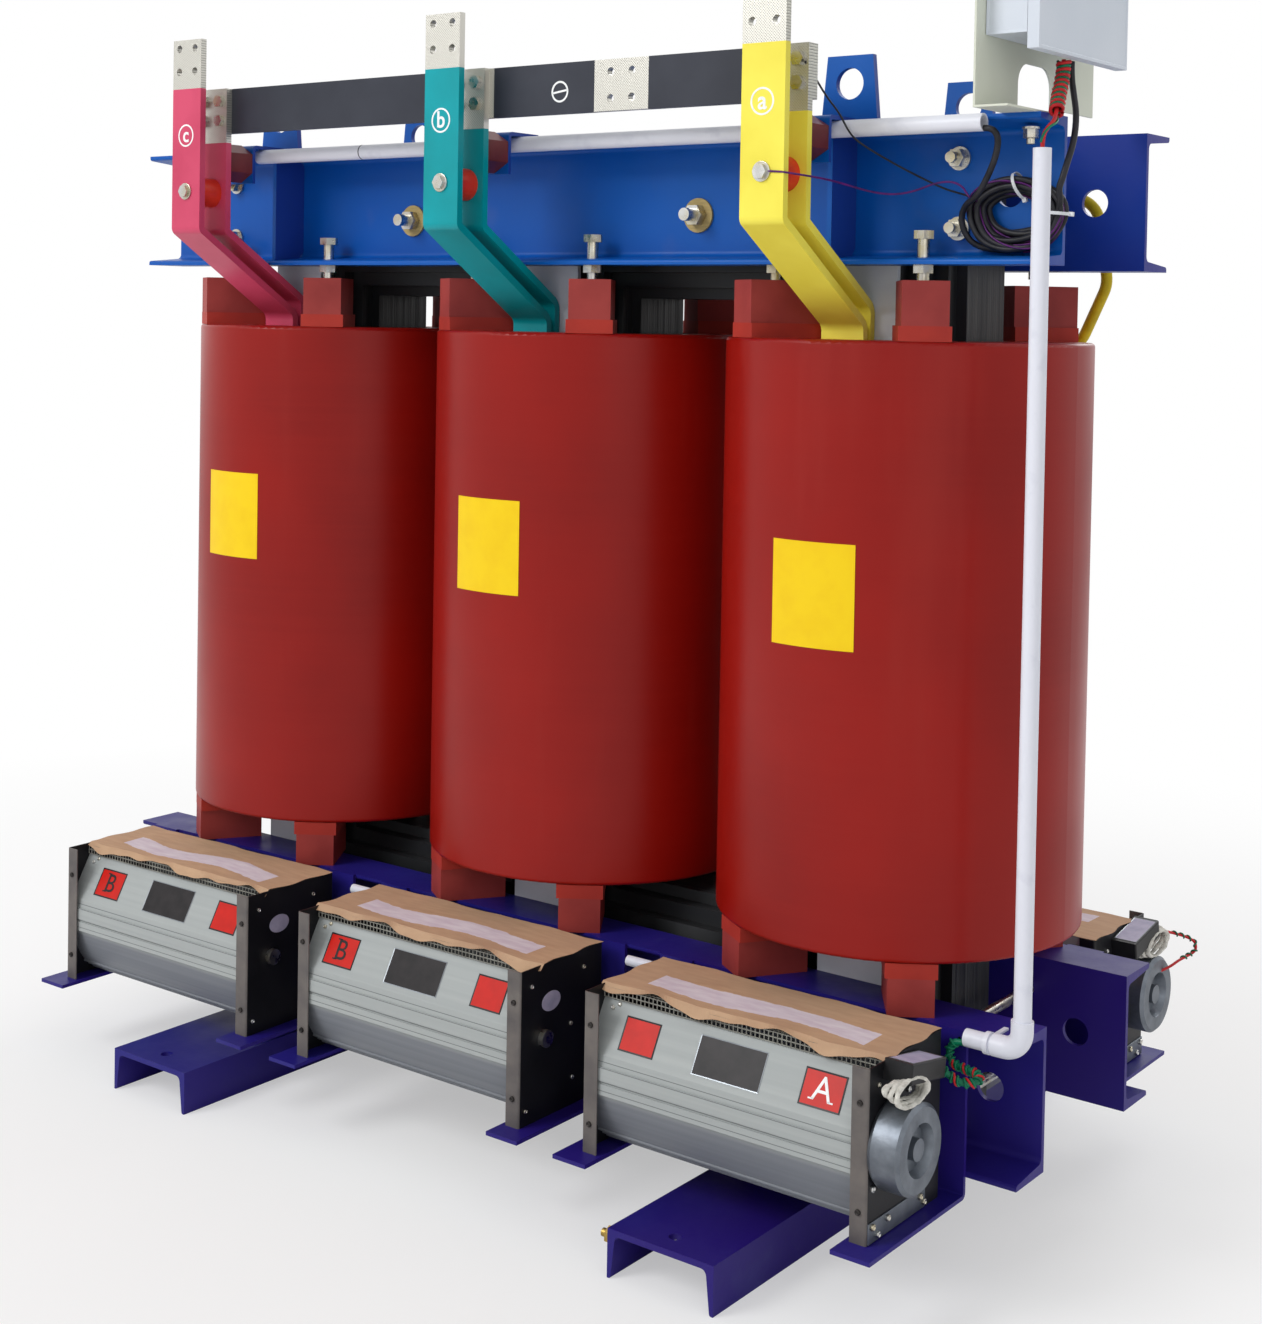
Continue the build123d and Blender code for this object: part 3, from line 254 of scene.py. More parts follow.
# Control cable
# Black sheathed cable that leaves the top conduit, hangs as an oval hank of loose turns against
# the clamp's web and climbs to the controller. A thin purple wire is wound in with it, and white
# nylon ties hold the turns.
def mottled(name, lit, shaded, scale, detail, low=0.3, high=0.7, **shader):
    """A finish in two close tones that lie in soft patches."""
    finish = Finish(name, **shader)
    patches = finish.ramp(finish.noise(scale, detail), low, high)
    finish.colour(finish.mix(patches, lit, shaded))
    return finish


def set_piece(piece, finish):
    """Gives a new piece its finish and fixes it to the transformer."""
    piece.data.materials.clear()
    piece.data.materials.append(finish.material)
    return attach(piece, "root")


def drawn_cord(name, route, diameter):
    """Round cord on one smooth line through a route in metres."""
    line = bpy.data.curves.new(name, "CURVE")
    line.dimensions = "3D"
    spline = line.splines.new("NURBS")
    spline.points.add(len(route) - 1)
    for point, place in zip(spline.points, route):
        point.co = (*place, 1)
    spline.order_u = 3
    spline.use_endpoint_u = True
    spline.resolution_u = 4
    line.bevel_depth = diameter / 2
    line.bevel_resolution = 3
    line.use_fill_caps = True
    piece = bpy.data.objects.new(name, line)
    scene.collection.objects.link(piece)
    return piece


def middle_line(cord):
    """Points of a cord's middle line, read from its spline."""
    bare = cord.data.copy()
    bare.bevel_depth = 0
    stand_in = bpy.data.objects.new("middle_line", bare)
    scene.collection.objects.link(stand_in)
    mesh = bpy.data.meshes.new_from_object(stand_in)
    points = [vertex.co.copy() for vertex in mesh.vertices]
    bpy.data.objects.remove(stand_in)
    bpy.data.meshes.remove(mesh)
    return points


def wound_wire(name, host, offset, diameter, pitch, finish, start, end, turned=0.0):
    """Thin wire wound round a cord from one share of its length to another."""
    points = middle_line(host)
    spans = [(after - before).length for before, after in zip(points, points[1:])]
    total = sum(spans)
    travelled = 0.0
    route = []
    side = Vector((0, 0, 1))
    for before, after, span in zip(points, points[1:], spans):
        ahead_here = (after - before).normalized()
        side = (side - ahead_here * side.dot(ahead_here)).normalized()
        other = ahead_here.cross(side)
        steps = max(1, round(span / pitch * points_a_wind))
        for step in range(steps):
            here = travelled + span * step / steps
            if start * total <= here <= end * total:
                turn = 2 * pi * here / pitch + turned
                around = side * cos(turn) + other * sin(turn)
                route.append(before + ahead_here * (here - travelled) + around * offset)
        travelled += span
    line = bpy.data.curves.new(name, "CURVE")
    line.dimensions = "3D"
    spline = line.splines.new("POLY")
    spline.points.add(len(route) - 1)
    for point, place in zip(spline.points, route):
        point.co = (*place, 1)
    line.bevel_depth = diameter / 2
    line.bevel_resolution = 2
    wire = bpy.data.objects.new(name, line)
    scene.collection.objects.link(wire)
    return set_piece(wire, finish)


def join(name, pieces):
    """One piece out of several."""
    bpy.ops.object.select_all(action="DESELECT")
    for piece in pieces:
        piece.select_set(True)
    bpy.context.view_layer.objects.active = pieces[0]
    if len(pieces) > 1:
        bpy.ops.object.join()
    joined = bpy.context.object
    joined.name = name
    bpy.ops.object.select_all(action="DESELECT")
    return joined


def nylon_tie(name, place, across, along, lean):
    """Tie drawn round a bundle: an oval band with a square head, leant over by some degrees."""
    bpy.ops.mesh.primitive_cylinder_add(
        vertices=28, radius=0.5, depth=tie_width, end_fill_type="NOTHING"
    )
    loop = bpy.context.object
    bpy.ops.object.mode_set(mode="EDIT")
    bpy.ops.transform.resize(value=(across, along, 1))
    bpy.ops.object.mode_set(mode="OBJECT")
    solid = loop.modifiers.new("thickness", "SOLIDIFY")
    solid.thickness = tie_thickness
    bpy.ops.object.modifier_apply(modifier="thickness")
    bpy.ops.mesh.primitive_cube_add(size=tie_head, location=(across / 2 + tie_head_out, 0, 0))
    head = bpy.context.object
    bpy.ops.object.transform_apply()
    tie = join(name, [loop, head])
    tie.data.transform(Matrix.Translation(place) @ Matrix.Rotation(radians(lean), 4, "Y"))
    return set_piece(tie, nylon)


points_a_wind = 10
tie_width = 0.0045
tie_thickness = 0.0012
tie_head = 0.006
tie_head_out = 0.002
cable_diameter = 0.009
cable_down = [
    (0.842, -0.2355, 1.6065),
    (0.853, -0.2355, 1.6065),
    (0.862, -0.234, 1.597),
    (0.861, -0.23, 1.582),
    (0.853, -0.224, 1.562),
    (0.835, -0.213, 1.536),
    (0.814, -0.203, 1.512),
    (0.795, -0.191, 1.508),
    (0.779, -0.178, 1.49),
    (0.78, -0.17, 1.468),
    (0.793, -0.162, 1.449),
    (0.826, -0.156, 1.4415),
]
cable_up = [
    (0.929, -0.173, 1.51),
    (0.929, -0.182, 1.524),
    (0.935, -0.182, 1.54),
    (0.938, -0.176, 1.56),
    (0.94, -0.16, 1.59),
    (0.935, -0.142, 1.628),
    (0.925, -0.133, 1.662),
    (0.92, -0.13, 1.685),
    (0.92, -0.13, 1.704),
]
hank_x = 0.858
hank_z = 1.492
web_y = -0.146
points_a_turn = 16
outer_half_width = 0.070
outer_half_height = 0.050
settle_steps = 5
slack = 0.45
slack_lag = 0.4
wide_waver = 0.025
fine_waver = 0.015
turn_sizes = (
    (0.0700, 0.0500, 0.0086),
    (0.0600, 0.0400, 0.0086),
    (0.0500, 0.0300, 0.0086),
    (0.0550, 0.0350, 0.0174),
    (0.0650, 0.0450, 0.0174),
    (0.0600, 0.0400, 0.0262),
    (0.0700, 0.0500, 0.0262),
)
hank_turns = []
for number, (half_width, half_height, stand_off) in enumerate(turn_sizes):
    first = settle_steps if number == 0 else 0
    last = points_a_turn + (points_a_turn // 2 if number == len(turn_sizes) - 1 else 0)
    before = turn_sizes[max(0, number - 1)]
    for step in range(first, last):
        turn = pi + 2 * pi * step / points_a_turn
        settled = min(1.0, step / settle_steps)
        width = before[0] + (half_width - before[0]) * settled
        height = before[1] + (half_height - before[1]) * settled
        depth = before[2] + (stand_off - before[2]) * settled
        fan_out = 1 + slack * max(0.0, -sin(turn + slack_lag))
        width = outer_half_width - (outer_half_width - width) * fan_out
        height = outer_half_height - (outer_half_height - height) * fan_out
        uneven = 1 + wide_waver * sin(3 * turn + 0.8) + fine_waver * sin(5 * turn)
        turn_x = hank_x + width * uneven * cos(turn)
        turn_z = hank_z + height * uneven * sin(turn)
        hank_turns.append((turn_x, web_y - depth, turn_z))
sheath = mottled("cable_sheath", shown(24, 24, 28), shown(46, 46, 52), 40, 4, roughness=0.42)
sheath.bump(sheath.noise(120, 3), 0.0004, 0.4)
purple = mottled("purple_wire", shown(104, 30, 116), shown(64, 22, 86), 60, 3, roughness=0.4)
nylon = mottled("white_nylon", shown(232, 234, 236), shown(206, 210, 214), 60, 3, roughness=0.4)
control_cable = drawn_cord("control_cable", cable_down + hank_turns + cable_up, cable_diameter)
set_piece(control_cable, sheath)
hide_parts("sensor_cable", "cable_hank", "controller_cable")
purple_wound = wound_wire("purple_wire", control_cable, 0.0058, 0.0026, 0.21, purple, 0.1, 0.92)
hank_ties = [
    nylon_tie("hank_tie_top", (0.862, -0.163, 1.532), 0.040, 0.040, 68),
    nylon_tie("hank_tie_right", (0.924, -0.165, 1.492), 0.030, 0.046, 4),
]

# Sensing wire
# Thin purple wire of the temperature sensor, clamped under the bolt of bar a. It runs along the
# clamp's web and ends in the hank.
sensing_diameter = 0.003
sensing_route = [
    (0.597, -0.3965, 1.544),
    (0.616, -0.3965, 1.543),
    (0.628, -0.391, 1.541),
    (0.632, -0.37, 1.54),
    (0.633, -0.335, 1.539),
    (0.636, -0.298, 1.537),
    (0.647, -0.263, 1.531),
    (0.665, -0.232, 1.523),
    (0.688, -0.207, 1.52),
    (0.712, -0.19, 1.526),
    (0.737, -0.181, 1.537),
    (0.762, -0.177, 1.54),
    (0.782, -0.18, 1.532),
    (0.793, -0.187, 1.52),
    (0.8, -0.186, 1.512),
    (0.802, -0.1763, 1.512),
]
sensing_cord = drawn_cord("sensing_cord", sensing_route, sensing_diameter)
set_piece(sensing_cord, purple)
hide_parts("sensing_wire")

# Upper sensing wire
# A second thin wire in black sheath, held under the star point's bolts. It comes down over the
# top conduit and ends in the hank.
upper_route = [
    (0.616, -0.338, 1.7),
    (0.619, -0.318, 1.682),
    (0.622, -0.29, 1.656),
    (0.628, -0.262, 1.634),
    (0.636, -0.254, 1.612),
    (0.648, -0.252, 1.597),
    (0.664, -0.232, 1.582),
    (0.688, -0.198, 1.562),
    (0.716, -0.172, 1.544),
    (0.744, -0.163, 1.53),
    (0.77, -0.165, 1.523),
    (0.79, -0.176, 1.518),
    (0.8, -0.182, 1.512),
]
upper_wire = drawn_cord("upper_wire", upper_route, sensing_diameter)
set_piece(upper_wire, sheath)

# Fan harness
# Bundle of green wires from the lower conduit to the front capacitor, wound with green and red
# wire. Its slack hangs in one bight beside the clamp.
harness_diameter = 0.009
harness_route = [
    (0.847, -0.2385, 0.3445),
    (0.838, -0.2385, 0.3445),
    (0.827, -0.2395, 0.342),
    (0.822, -0.241, 0.331),
    (0.825, -0.243, 0.3195),
    (0.836, -0.2455, 0.3135),
    (0.851, -0.2485, 0.3125),
    (0.867, -0.2525, 0.313),
    (0.8795, -0.2595, 0.3125),
    (0.885, -0.2715, 0.311),
    (0.879, -0.2835, 0.309),
    (0.866, -0.2895, 0.3095),
    (0.852, -0.2925, 0.315),
    (0.842, -0.2975, 0.3255),
    (0.838, -0.306, 0.3335),
    (0.838, -0.3176, 0.3367),
]
green = mottled("green_wire", shown(10, 124, 88), shown(6, 92, 66), 60, 3, roughness=0.4)
red = mottled("red_wire", shown(206, 40, 44), shown(170, 28, 34), 60, 3, roughness=0.4)
harness_cord = drawn_cord("harness_cord", harness_route, harness_diameter)
set_piece(harness_cord, green)
green_wound = wound_wire("harness_green", harness_cord, 0.0058, 0.0034, 0.010, green, 0.05, 0.9)
red_wound = wound_wire("harness_red", harness_cord, 0.0062, 0.0034, 0.021, red, 0.25, 0.8, 2.0)
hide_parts("fan_harness")

# Rear fan wires
# Red wire from the rear capacitor's end to the motor, with a thin green one wound round it. Its
# slack stands out in one loop.
rear_wire_diameter = 0.0045
rear_wire_route = [
    (0.838, 0.413, 0.345),
    (0.84, 0.424, 0.345),
    (0.85, 0.439, 0.343),
    (0.866, 0.462, 0.335),
    (0.879, 0.482, 0.327),
    (0.889, 0.494, 0.318),
    (0.891, 0.49, 0.304),
    (0.885, 0.469, 0.3),
    (0.879, 0.445, 0.297),
    (0.873, 0.424, 0.29),
    (0.863, 0.41, 0.285),
]
rear_wires = drawn_cord("rear_fan_wires", rear_wire_route, rear_wire_diameter)
set_piece(rear_wires, red)
rear_green = wound_wire("rear_fan_green", rear_wires, 0.0034, 0.0026, 0.014, green, 0.25, 0.75)

# Riser wires
# Red and green wires that leave the riser's mouth and go up into the controller. Near the box
# they are wound into one thick bundle.
riser_diameter = 0.006
riser_route = [
    (0.931, -0.2385, 1.576),
    (0.931, -0.2385, 1.592),
    (0.935, -0.232, 1.604),
    (0.936, -0.214, 1.614),
    (0.931, -0.198, 1.628),
    (0.925, -0.18, 1.65),
    (0.921, -0.162, 1.672),
    (0.92, -0.155, 1.69),
    (0.92, -0.155, 1.704),
]
riser_wires = drawn_cord("riser_wires", riser_route, riser_diameter)
set_piece(riser_wires, red)
riser_green = wound_wire("riser_green", riser_wires, 0.0080, 0.0046, 0.0100, green, 0.46, 0.985)
riser_red = wound_wire("riser_red", riser_wires, 0.0084, 0.0054, 0.0100, red, 0.42, 0.985, pi)
riser_strand = wound_wire("riser_strand", riser_wires, 0.0046, 0.0034, 0.120, green, 0.02, 0.46)


# Base rails, stools, clamps, ribs, lugs and straps
# Rolled steel channels and welded plate, all sprayed with the same blue machine paint. Painted
# shade darkens the lower steelwork, the rear clamp and the faces that look along X to violet blue.
def blue_paint(name, lit, shaded, share):
    """Two blues in soft patches, of which the second takes a set share, with painted violet end shade."""
    finish = Finish(name, roughness=0.38)
    patches = finish.ramp(finish.noise(2.2, 3), 0.35, 0.65)
    base = finish.mix(patches * 0.5 + share, lit, shaded)
    facing = finish.node("ShaderNodeNewGeometry", "Normal")
    parts = finish.tree.nodes.new("ShaderNodeSeparateXYZ")
    finish.tree.links.new(facing.socket, parts.inputs[0])
    # Painted shade: faces that look along X are turned towards violet.
    ends = finish.ramp(abs(Varying(finish, parts.outputs[0])), 0.5, 0.9, 0, 0.5)
    base = finish.mix(ends, base, shown(44, 24, 120))
    dust = finish.ramp(finish.noise(9, 6), 0.62, 0.8, 0, 0.25)
    finish.colour(finish.mix(dust, base, shown(90, 100, 150)))
    finish.rough(finish.ramp(finish.noise(14, 4), 0.3, 0.7, 0.3, 0.5))
    finish.bump(finish.noise(120, 2), 0.0004, 0.35)
    return finish


upper_blue = blue_paint("upper_blue_paint", shown(0, 90, 178), shown(2, 74, 162), 0.0)
# Painted shade: the lower steelwork and the rear clamp get darker, more violet blues.
shaded_lower_blue = blue_paint("lower_blue_paint", shown(22, 36, 128), shown(42, 22, 112), 0.4)
shaded_rear_blue = blue_paint("rear_blue_paint", shown(6, 58, 148), shown(30, 28, 126), 0.3)
dress(upper_blue, "top_clamp_front", "clamp_ribs", "lifting_lugs", "insulator_brackets")
dress(shaded_rear_blue, "top_clamp_back")
dress(
    shaded_lower_blue,
    "base_rail_left",
    "base_rail_right",
    "clamp_stools",
    "bottom_clamp_front",
    "bottom_clamp_back",
    "fan_brackets",
)

# Core
# Stacked sheets of electrical steel under black varnish. The sheets' edges show as fine lines
# along the legs and yokes, with a few brighter streaks among them.
core_black = Finish("core_varnish", roughness=0.42, specular=0.35)
sheet_lines = core_black.noise(1.0, 3, stretch=(0.5, 260, 0.5))
bright_streaks = core_black.ramp(core_black.noise(3, 5, stretch=(1, 120, 0.4)), 0.6, 0.75)
varnish = core_black.ramp(sheet_lines, 0.35, 0.65)
varnish = core_black.mix(varnish, shown(16, 17, 19), shown(44, 46, 48))
core_black.colour(core_black.mix(bright_streaks * 0.5, varnish, shown(95, 96, 98)))
core_black.rough(core_black.ramp(sheet_lines, 0.3, 0.7, 0.3, 0.6))
core_black.bump(sheet_lines, 0.0012, 0.6)
dress(core_black, "core")

# Tie plates
# Flat steel straps in pale blue-grey paint that run down the legs behind the coils and hold the
# upper clamps to the lower ones. Painted light raises their tones nearly to white, as they lie in
# shade under the clamps.
# Painted light: near-white tones, so that the straps look lit in the shade under the clamps.
strap_painted_light = mottled(
    "strap_grey_paint", shown(230, 236, 242), shown(208, 216, 224), 5, 4, 0.35, 0.7, roughness=0.45
)
strap_painted_light.bump(strap_painted_light.noise(60, 2), 0.0004, 0.3)
dress(strap_painted_light, "tie_plates")

# Coils
# Windings cast in red epoxy, turned smooth. The skin has faint rings round it, a few lighter
# upright streaks, and duller patches.
coil_red = Finish("coil_resin", roughness=0.32, specular=0.25)
rings = coil_red.noise(2.0, 5, stretch=(0.6, 0.6, 60))
upright_streaks = coil_red.ramp(coil_red.noise(1.6, 5, stretch=(9, 9, 0.8)), 0.58, 0.78)
clouds = coil_red.ramp(coil_red.noise(3.2, 4), 0.3, 0.7)
resin = coil_red.mix(clouds, shown(150, 17, 7), shown(132, 13, 6))
resin = coil_red.mix(coil_red.ramp(rings, 0.4, 0.7) * 0.15, resin, shown(148, 26, 16))
coil_red.colour(coil_red.mix(upright_streaks * 0.22, resin, shown(156, 48, 38)))
coil_red.rough(0.28 + clouds * 0.1 + upright_streaks * 0.15)
coil_red.bump(rings, 0.0004, 0.15)
dress(coil_red, "hv_coil_a", "hv_coil_b", "hv_coil_c", "lv_coils")

# Plain plates on the coils
# A yellow plastic label, left bare, is glued to the front of each coil and follows its curve.
# They sit a little turned and at heights of their own, as the fitter stuck them.
plate_yellow = mottled(
    "plate_yellow", shown(244, 206, 12), shown(240, 199, 8), 30, 3, 0.4, 0.7, roughness=0.35
)
coil_radius = 0.28
glue_gap = 0.0001
plate_proud = 0.0006
plate_height = 0.152
plate_turns = 12
half_plate_angle = 14


def curved_plate(name, centre_x, middle_angle, middle_z):
    """Thin label on a coil: a strip of small flats, solidified outwards."""
    bpy.ops.mesh.primitive_grid_add(x_subdivisions=plate_turns, y_subdivisions=1, size=2)
    plate = bpy.context.object
    plate.name = name
    radius = coil_radius + glue_gap
    for vertex in plate.data.vertices:
        angle = radians(middle_angle + vertex.co.x * half_plate_angle)
        height = middle_z + vertex.co.y * plate_height / 2
        vertex.co = (centre_x + radius * sin(angle), -radius * cos(angle), height)
    solid = plate.modifiers.new("thickness", "SOLIDIFY")
    solid.thickness = plate_proud
    solid.offset = 1
    bpy.ops.object.modifier_apply(modifier="thickness")
    bpy.ops.object.shade_smooth_by_angle(angle=radians(20))
    return set_piece(plate, plate_yellow)


for phase, centre_x, middle_angle, middle_z in (
    ("c", -0.6, -4.3, 0.972),
    ("b", 0.0, -2.6, 0.966),
    ("a", 0.6, 1.2, 0.947),
):
    curved_plate(f"coil_plate_{phase}", centre_x, middle_angle, middle_z)

# Support blocks
# Cast blocks of matt red resin between the coils and the clamps, each on a wider foot that is
# redder and smoother than the body. Jack bolts press the upper ones down.
block_red = Finish("block_resin", roughness=0.55)
block_clouds = block_red.ramp(block_red.noise(12, 5), 0.35, 0.7)
block_body = block_red.mix(block_clouds, shown(158, 60, 56), shown(136, 46, 44))
coil_top = 1.312
coil_base = 0.433
foot_height = 0.022
above = block_red.z > coil_base - foot_height
below = block_red.z < coil_top + foot_height
foot_colour = block_red.mix(block_clouds, shown(172, 50, 38), shown(150, 40, 32))
block_red.colour(block_red.mix(block_red.both(above, below), block_body, foot_colour))
block_red.bump(block_red.noise(90, 4), 0.0006, 0.4)
dress(block_red, "top_blocks", "bottom_blocks")

# Bolts, nuts and studs
# Steel fasteners with bright zinc plate, faintly yellow in places. The yoke bolts bear on thick
# washers of insulating board.
zinc = mottled(
    "zinc_plate", shown(204, 204, 202), shown(190, 180, 150), 30, 3, 0.4, 0.7, roughness=0.28, metallic=1.0
)
zinc.rough(zinc.ramp(zinc.noise(80, 3), 0.3, 0.7, 0.2, 0.42))
dress(zinc, "jack_bolts", "yoke_bolts", "clamp_studs", "star_bolts", "bar_bolts", "fan_bearings")
board = Finish("insulating_board", roughness=0.5)
board_grain = board.ramp(board.noise(60, 4, stretch=(1, 1, 4)), 0.3, 0.7)
board.colour(board.mix(board_grain, shown(196, 172, 112), shown(170, 148, 96)))
dress(board, "yoke_washers")

# Low-voltage bars
# Flat copper bars, tinned all over and pressed with a fine grid of dots. Enamel in the phase
# colour covers them up to a sharp line under each terminal.
dot_pitch = 0.0042
line_bare_z = 1.722
star_bare_z = 1.632
between_bars_y = -0.36


def tinned(finish):
    """Bright tin with a grid of pressed dots, as dot height and as painted shade in the dots."""
    turns = 2 * pi / dot_pitch
    dots = finish.wave(finish.x * turns) * finish.wave(finish.z * turns)
    pits = finish.ramp(dots, 0.3, 0.9)
    # Painted shade: the pressed dots are darkened.
    return finish.mix(pits, shown(204, 202, 194), shown(128, 126, 116)), pits


def bar_finish(name, lit, shaded):
    """Enamel below the bare line, which is lower on the rear bar."""
    finish = Finish(name, roughness=0.3)
    tin, pits = tinned(finish)
    front = finish.y < between_bars_y
    line = finish.node("ShaderNodeMix", 0, {}, {0: front, 2: star_bare_z, 3: line_bare_z})
    bare = finish.z > line
    enamel = finish.mix(finish.ramp(finish.noise(7, 4), 0.35, 0.7), lit, shaded)
    finish.colour(finish.mix(bare, enamel, tin))
    finish.metal(bare * 0.85)
    finish.rough(0.3 + bare * 0.08 + finish.noise(40, 3) * 0.06)
    finish.bump(bare * pits * -1.0 + finish.noise(70, 2) * 0.15, 0.0006, 0.6)
    return finish


bar_yellow = bar_finish("enamel_yellow", shown(248, 236, 92), shown(232, 216, 70))
bar_green = bar_finish("enamel_green", shown(0, 158, 168), shown(0, 140, 146))
bar_red = bar_finish("enamel_red", shown(208, 76, 108), shown(190, 60, 92))
dress(bar_yellow, "line_bar_a", "star_bar_a")
dress(bar_green, "line_bar_b", "star_bar_b")
dress(bar_red, "line_bar_c", "star_bar_c")

# Neutral bar
# The same tinned bar in charcoal enamel, left bare at its ends, beside the middle joint and on
# the pad where the neutral lead is bolted.
bar_black = Finish("enamel_charcoal", roughness=0.4)
black_tin, black_pits = tinned(bar_black)
left_bare_x = -0.600
right_bare_x = 0.552
bare_spans = ((-0.062, 0.031), (0.232, 0.334))
bare_zones = bar_black.either(bar_black.x < left_bare_x, bar_black.x > right_bare_x)
for low, high in bare_spans:
    bare_span = bar_black.both(bar_black.x > low, bar_black.x < high)
    bare_zones = bar_black.either(bare_zones, bare_span)
charcoal_clouds = bar_black.ramp(bar_black.noise(9, 4), 0.3, 0.7)
charcoal = bar_black.mix(charcoal_clouds, shown(42, 45, 55), shown(54, 57, 67))
bar_black.colour(bar_black.mix(bare_zones, charcoal, black_tin))
bar_black.metal(bare_zones * 0.85)
bar_black.bump(bare_zones * black_pits * -1.0, 0.0006, 0.6)
dress(bar_black, "neutral_bar")

# Phase letters
# A white ring round a small letter, printed on each line bar, and a ring with a stroke on the
# neutral bar.
print_white = mottled("printed_white", shown(250, 250, 250), shown(232, 236, 236), 60, 3, roughness=0.4)
ring_radius = 0.0195
ring_stroke = 0.0028
print_proud = 0.0004
letter_size = 0.036
letter_fattening = 0.0006
letter_z = 1.641
line_front_y = -0.395
line_bars = (("c", -0.615), ("b", -0.015), ("a", 0.585))
letter_shift = 0.001
neutral_place = (0.165, -0.324, 1.683)
neutral_radius = 0.0165
neutral_stroke = 0.003
neutral_stroke_length = 0.028
neutral_lean = radians(8)


def face_front(piece, place):
    """Stands a flat piece that was drawn on XY upright, facing the low-voltage side."""
    piece.data.transform(Matrix.Translation(place) @ Matrix.Rotation(pi / 2, 4, "X"))
    return piece


def extruded(height):
    """Draws what is picked out along Z."""
    bpy.ops.mesh.extrude_region_move(TRANSFORM_OT_translate={"value": (0, 0, height)})


def printed_ring(place, radius, width):
    bpy.ops.mesh.primitive_circle_add(vertices=48, radius=radius, fill_type="NGON")
    ring = bpy.context.object
    bpy.ops.object.mode_set(mode="EDIT")
    bpy.ops.mesh.inset(thickness=width)
    bpy.ops.mesh.delete(type="FACE")
    bpy.ops.mesh.select_all(action="SELECT")
    extruded(print_proud)
    bpy.ops.mesh.select_all(action="SELECT")
    bpy.ops.mesh.normals_make_consistent(inside=False)
    bpy.ops.object.mode_set(mode="OBJECT")
    return face_front(ring, place)


def solid_letter(letter, size, half_depth, fattening=0.0):
    """Letter drawn on XY about the origin, as a mesh."""
    bpy.ops.object.text_add()
    drawn = bpy.context.object.data
    drawn.body = letter
    drawn.size = size
    drawn.extrude = half_depth
    drawn.offset = fattening
    drawn.align_x = "CENTER"
    drawn.align_y = "CENTER"
    bpy.ops.object.convert(target="MESH")
    return bpy.context.object


for phase, bar_x in line_bars:
    place = (bar_x - letter_shift, line_front_y, letter_z)
    ring = printed_ring(place, ring_radius, ring_stroke)
    letter = solid_letter(phase, letter_size, print_proud / 2, letter_fattening)
    letter.data.transform(Matrix.Translation((0, 0, print_proud / 2)))
    mark = join(f"phase_mark_{phase}", [ring, face_front(letter, place)])
    set_piece(mark, print_white)

neutral_ring = printed_ring(neutral_place, neutral_radius, neutral_stroke)
bpy.ops.mesh.primitive_plane_add(size=1)
stroke = bpy.context.object
bpy.ops.object.mode_set(mode="EDIT")
bpy.ops.transform.resize(value=(neutral_stroke_length, neutral_stroke, 1))
extruded(print_proud)
bpy.ops.object.mode_set(mode="OBJECT")
stroke.data.transform(Matrix.Rotation(neutral_lean, 4, "Z"))
neutral_mark = join("neutral_mark", [neutral_ring, face_front(stroke, neutral_place)])
set_piece(neutral_mark, print_white)

# Bar washers
# Round steel washers with zinc plate. One lies under the head of each line bar's bolt, which
# clamps it.
washer_radius = 0.0145
washer_depth = 0.0025
washer_z = 1.544
fine_bevel = 0.0006


def pick_faces(piece, wanted):
    """Selects the faces that the test wants and opens the piece for editing."""
    bpy.ops.object.select_all(action="DESELECT")
    piece.select_set(True)
    bpy.context.view_layer.objects.active = piece
    bpy.ops.object.mode_set(mode="EDIT")
    bpy.ops.mesh.select_mode(type="FACE")
    bpy.ops.mesh.select_all(action="DESELECT")
    bpy.ops.object.mode_set(mode="OBJECT")
    for face in piece.data.polygons:
        face.select = wanted(face)
    bpy.ops.object.mode_set(mode="EDIT")


def upright_disc(vertices, radius, depth, middle_z=0.0):
    """Round or many-sided disc about the Z axis."""
    bpy.ops.mesh.primitive_cylinder_add(
        vertices=vertices, radius=radius, depth=depth, location=(0, 0, middle_z)
    )
    bpy.ops.object.transform_apply()
    return bpy.context.object


def bevelled(piece, chosen, offset, segments=2):
    """Bevels the edges round the chosen faces."""
    pick_faces(piece, chosen)
    bpy.ops.mesh.bevel(offset=offset, segments=segments, affect="EDGES")
    bpy.ops.object.mode_set(mode="OBJECT")
    return piece


for phase, bar_x in line_bars:
    washer = upright_disc(40, washer_radius, washer_depth)
    washer.name = f"bar_washer_{phase}"
    bevelled(washer, lambda face: abs(face.normal.z) > 0.9, fine_bevel)
    face_front(washer, (bar_x, line_front_y - washer_depth / 2, washer_z))
    set_piece(washer, zinc)

# Spacers and post insulators
# Cast resin. Bright orange-red discs are bolted between the bars, and brown-red hexagonal posts
# hold the bars off their steel brackets.
orange = mottled("spacer_resin", shown(226, 62, 40), shown(198, 48, 34), 20, 4, roughness=0.35)
dress(orange, "bar_spacers")
brown = mottled("insulator_resin", shown(116, 50, 52), shown(92, 38, 40), 20, 4, roughness=0.38)
dress(brown, "post_insulators")

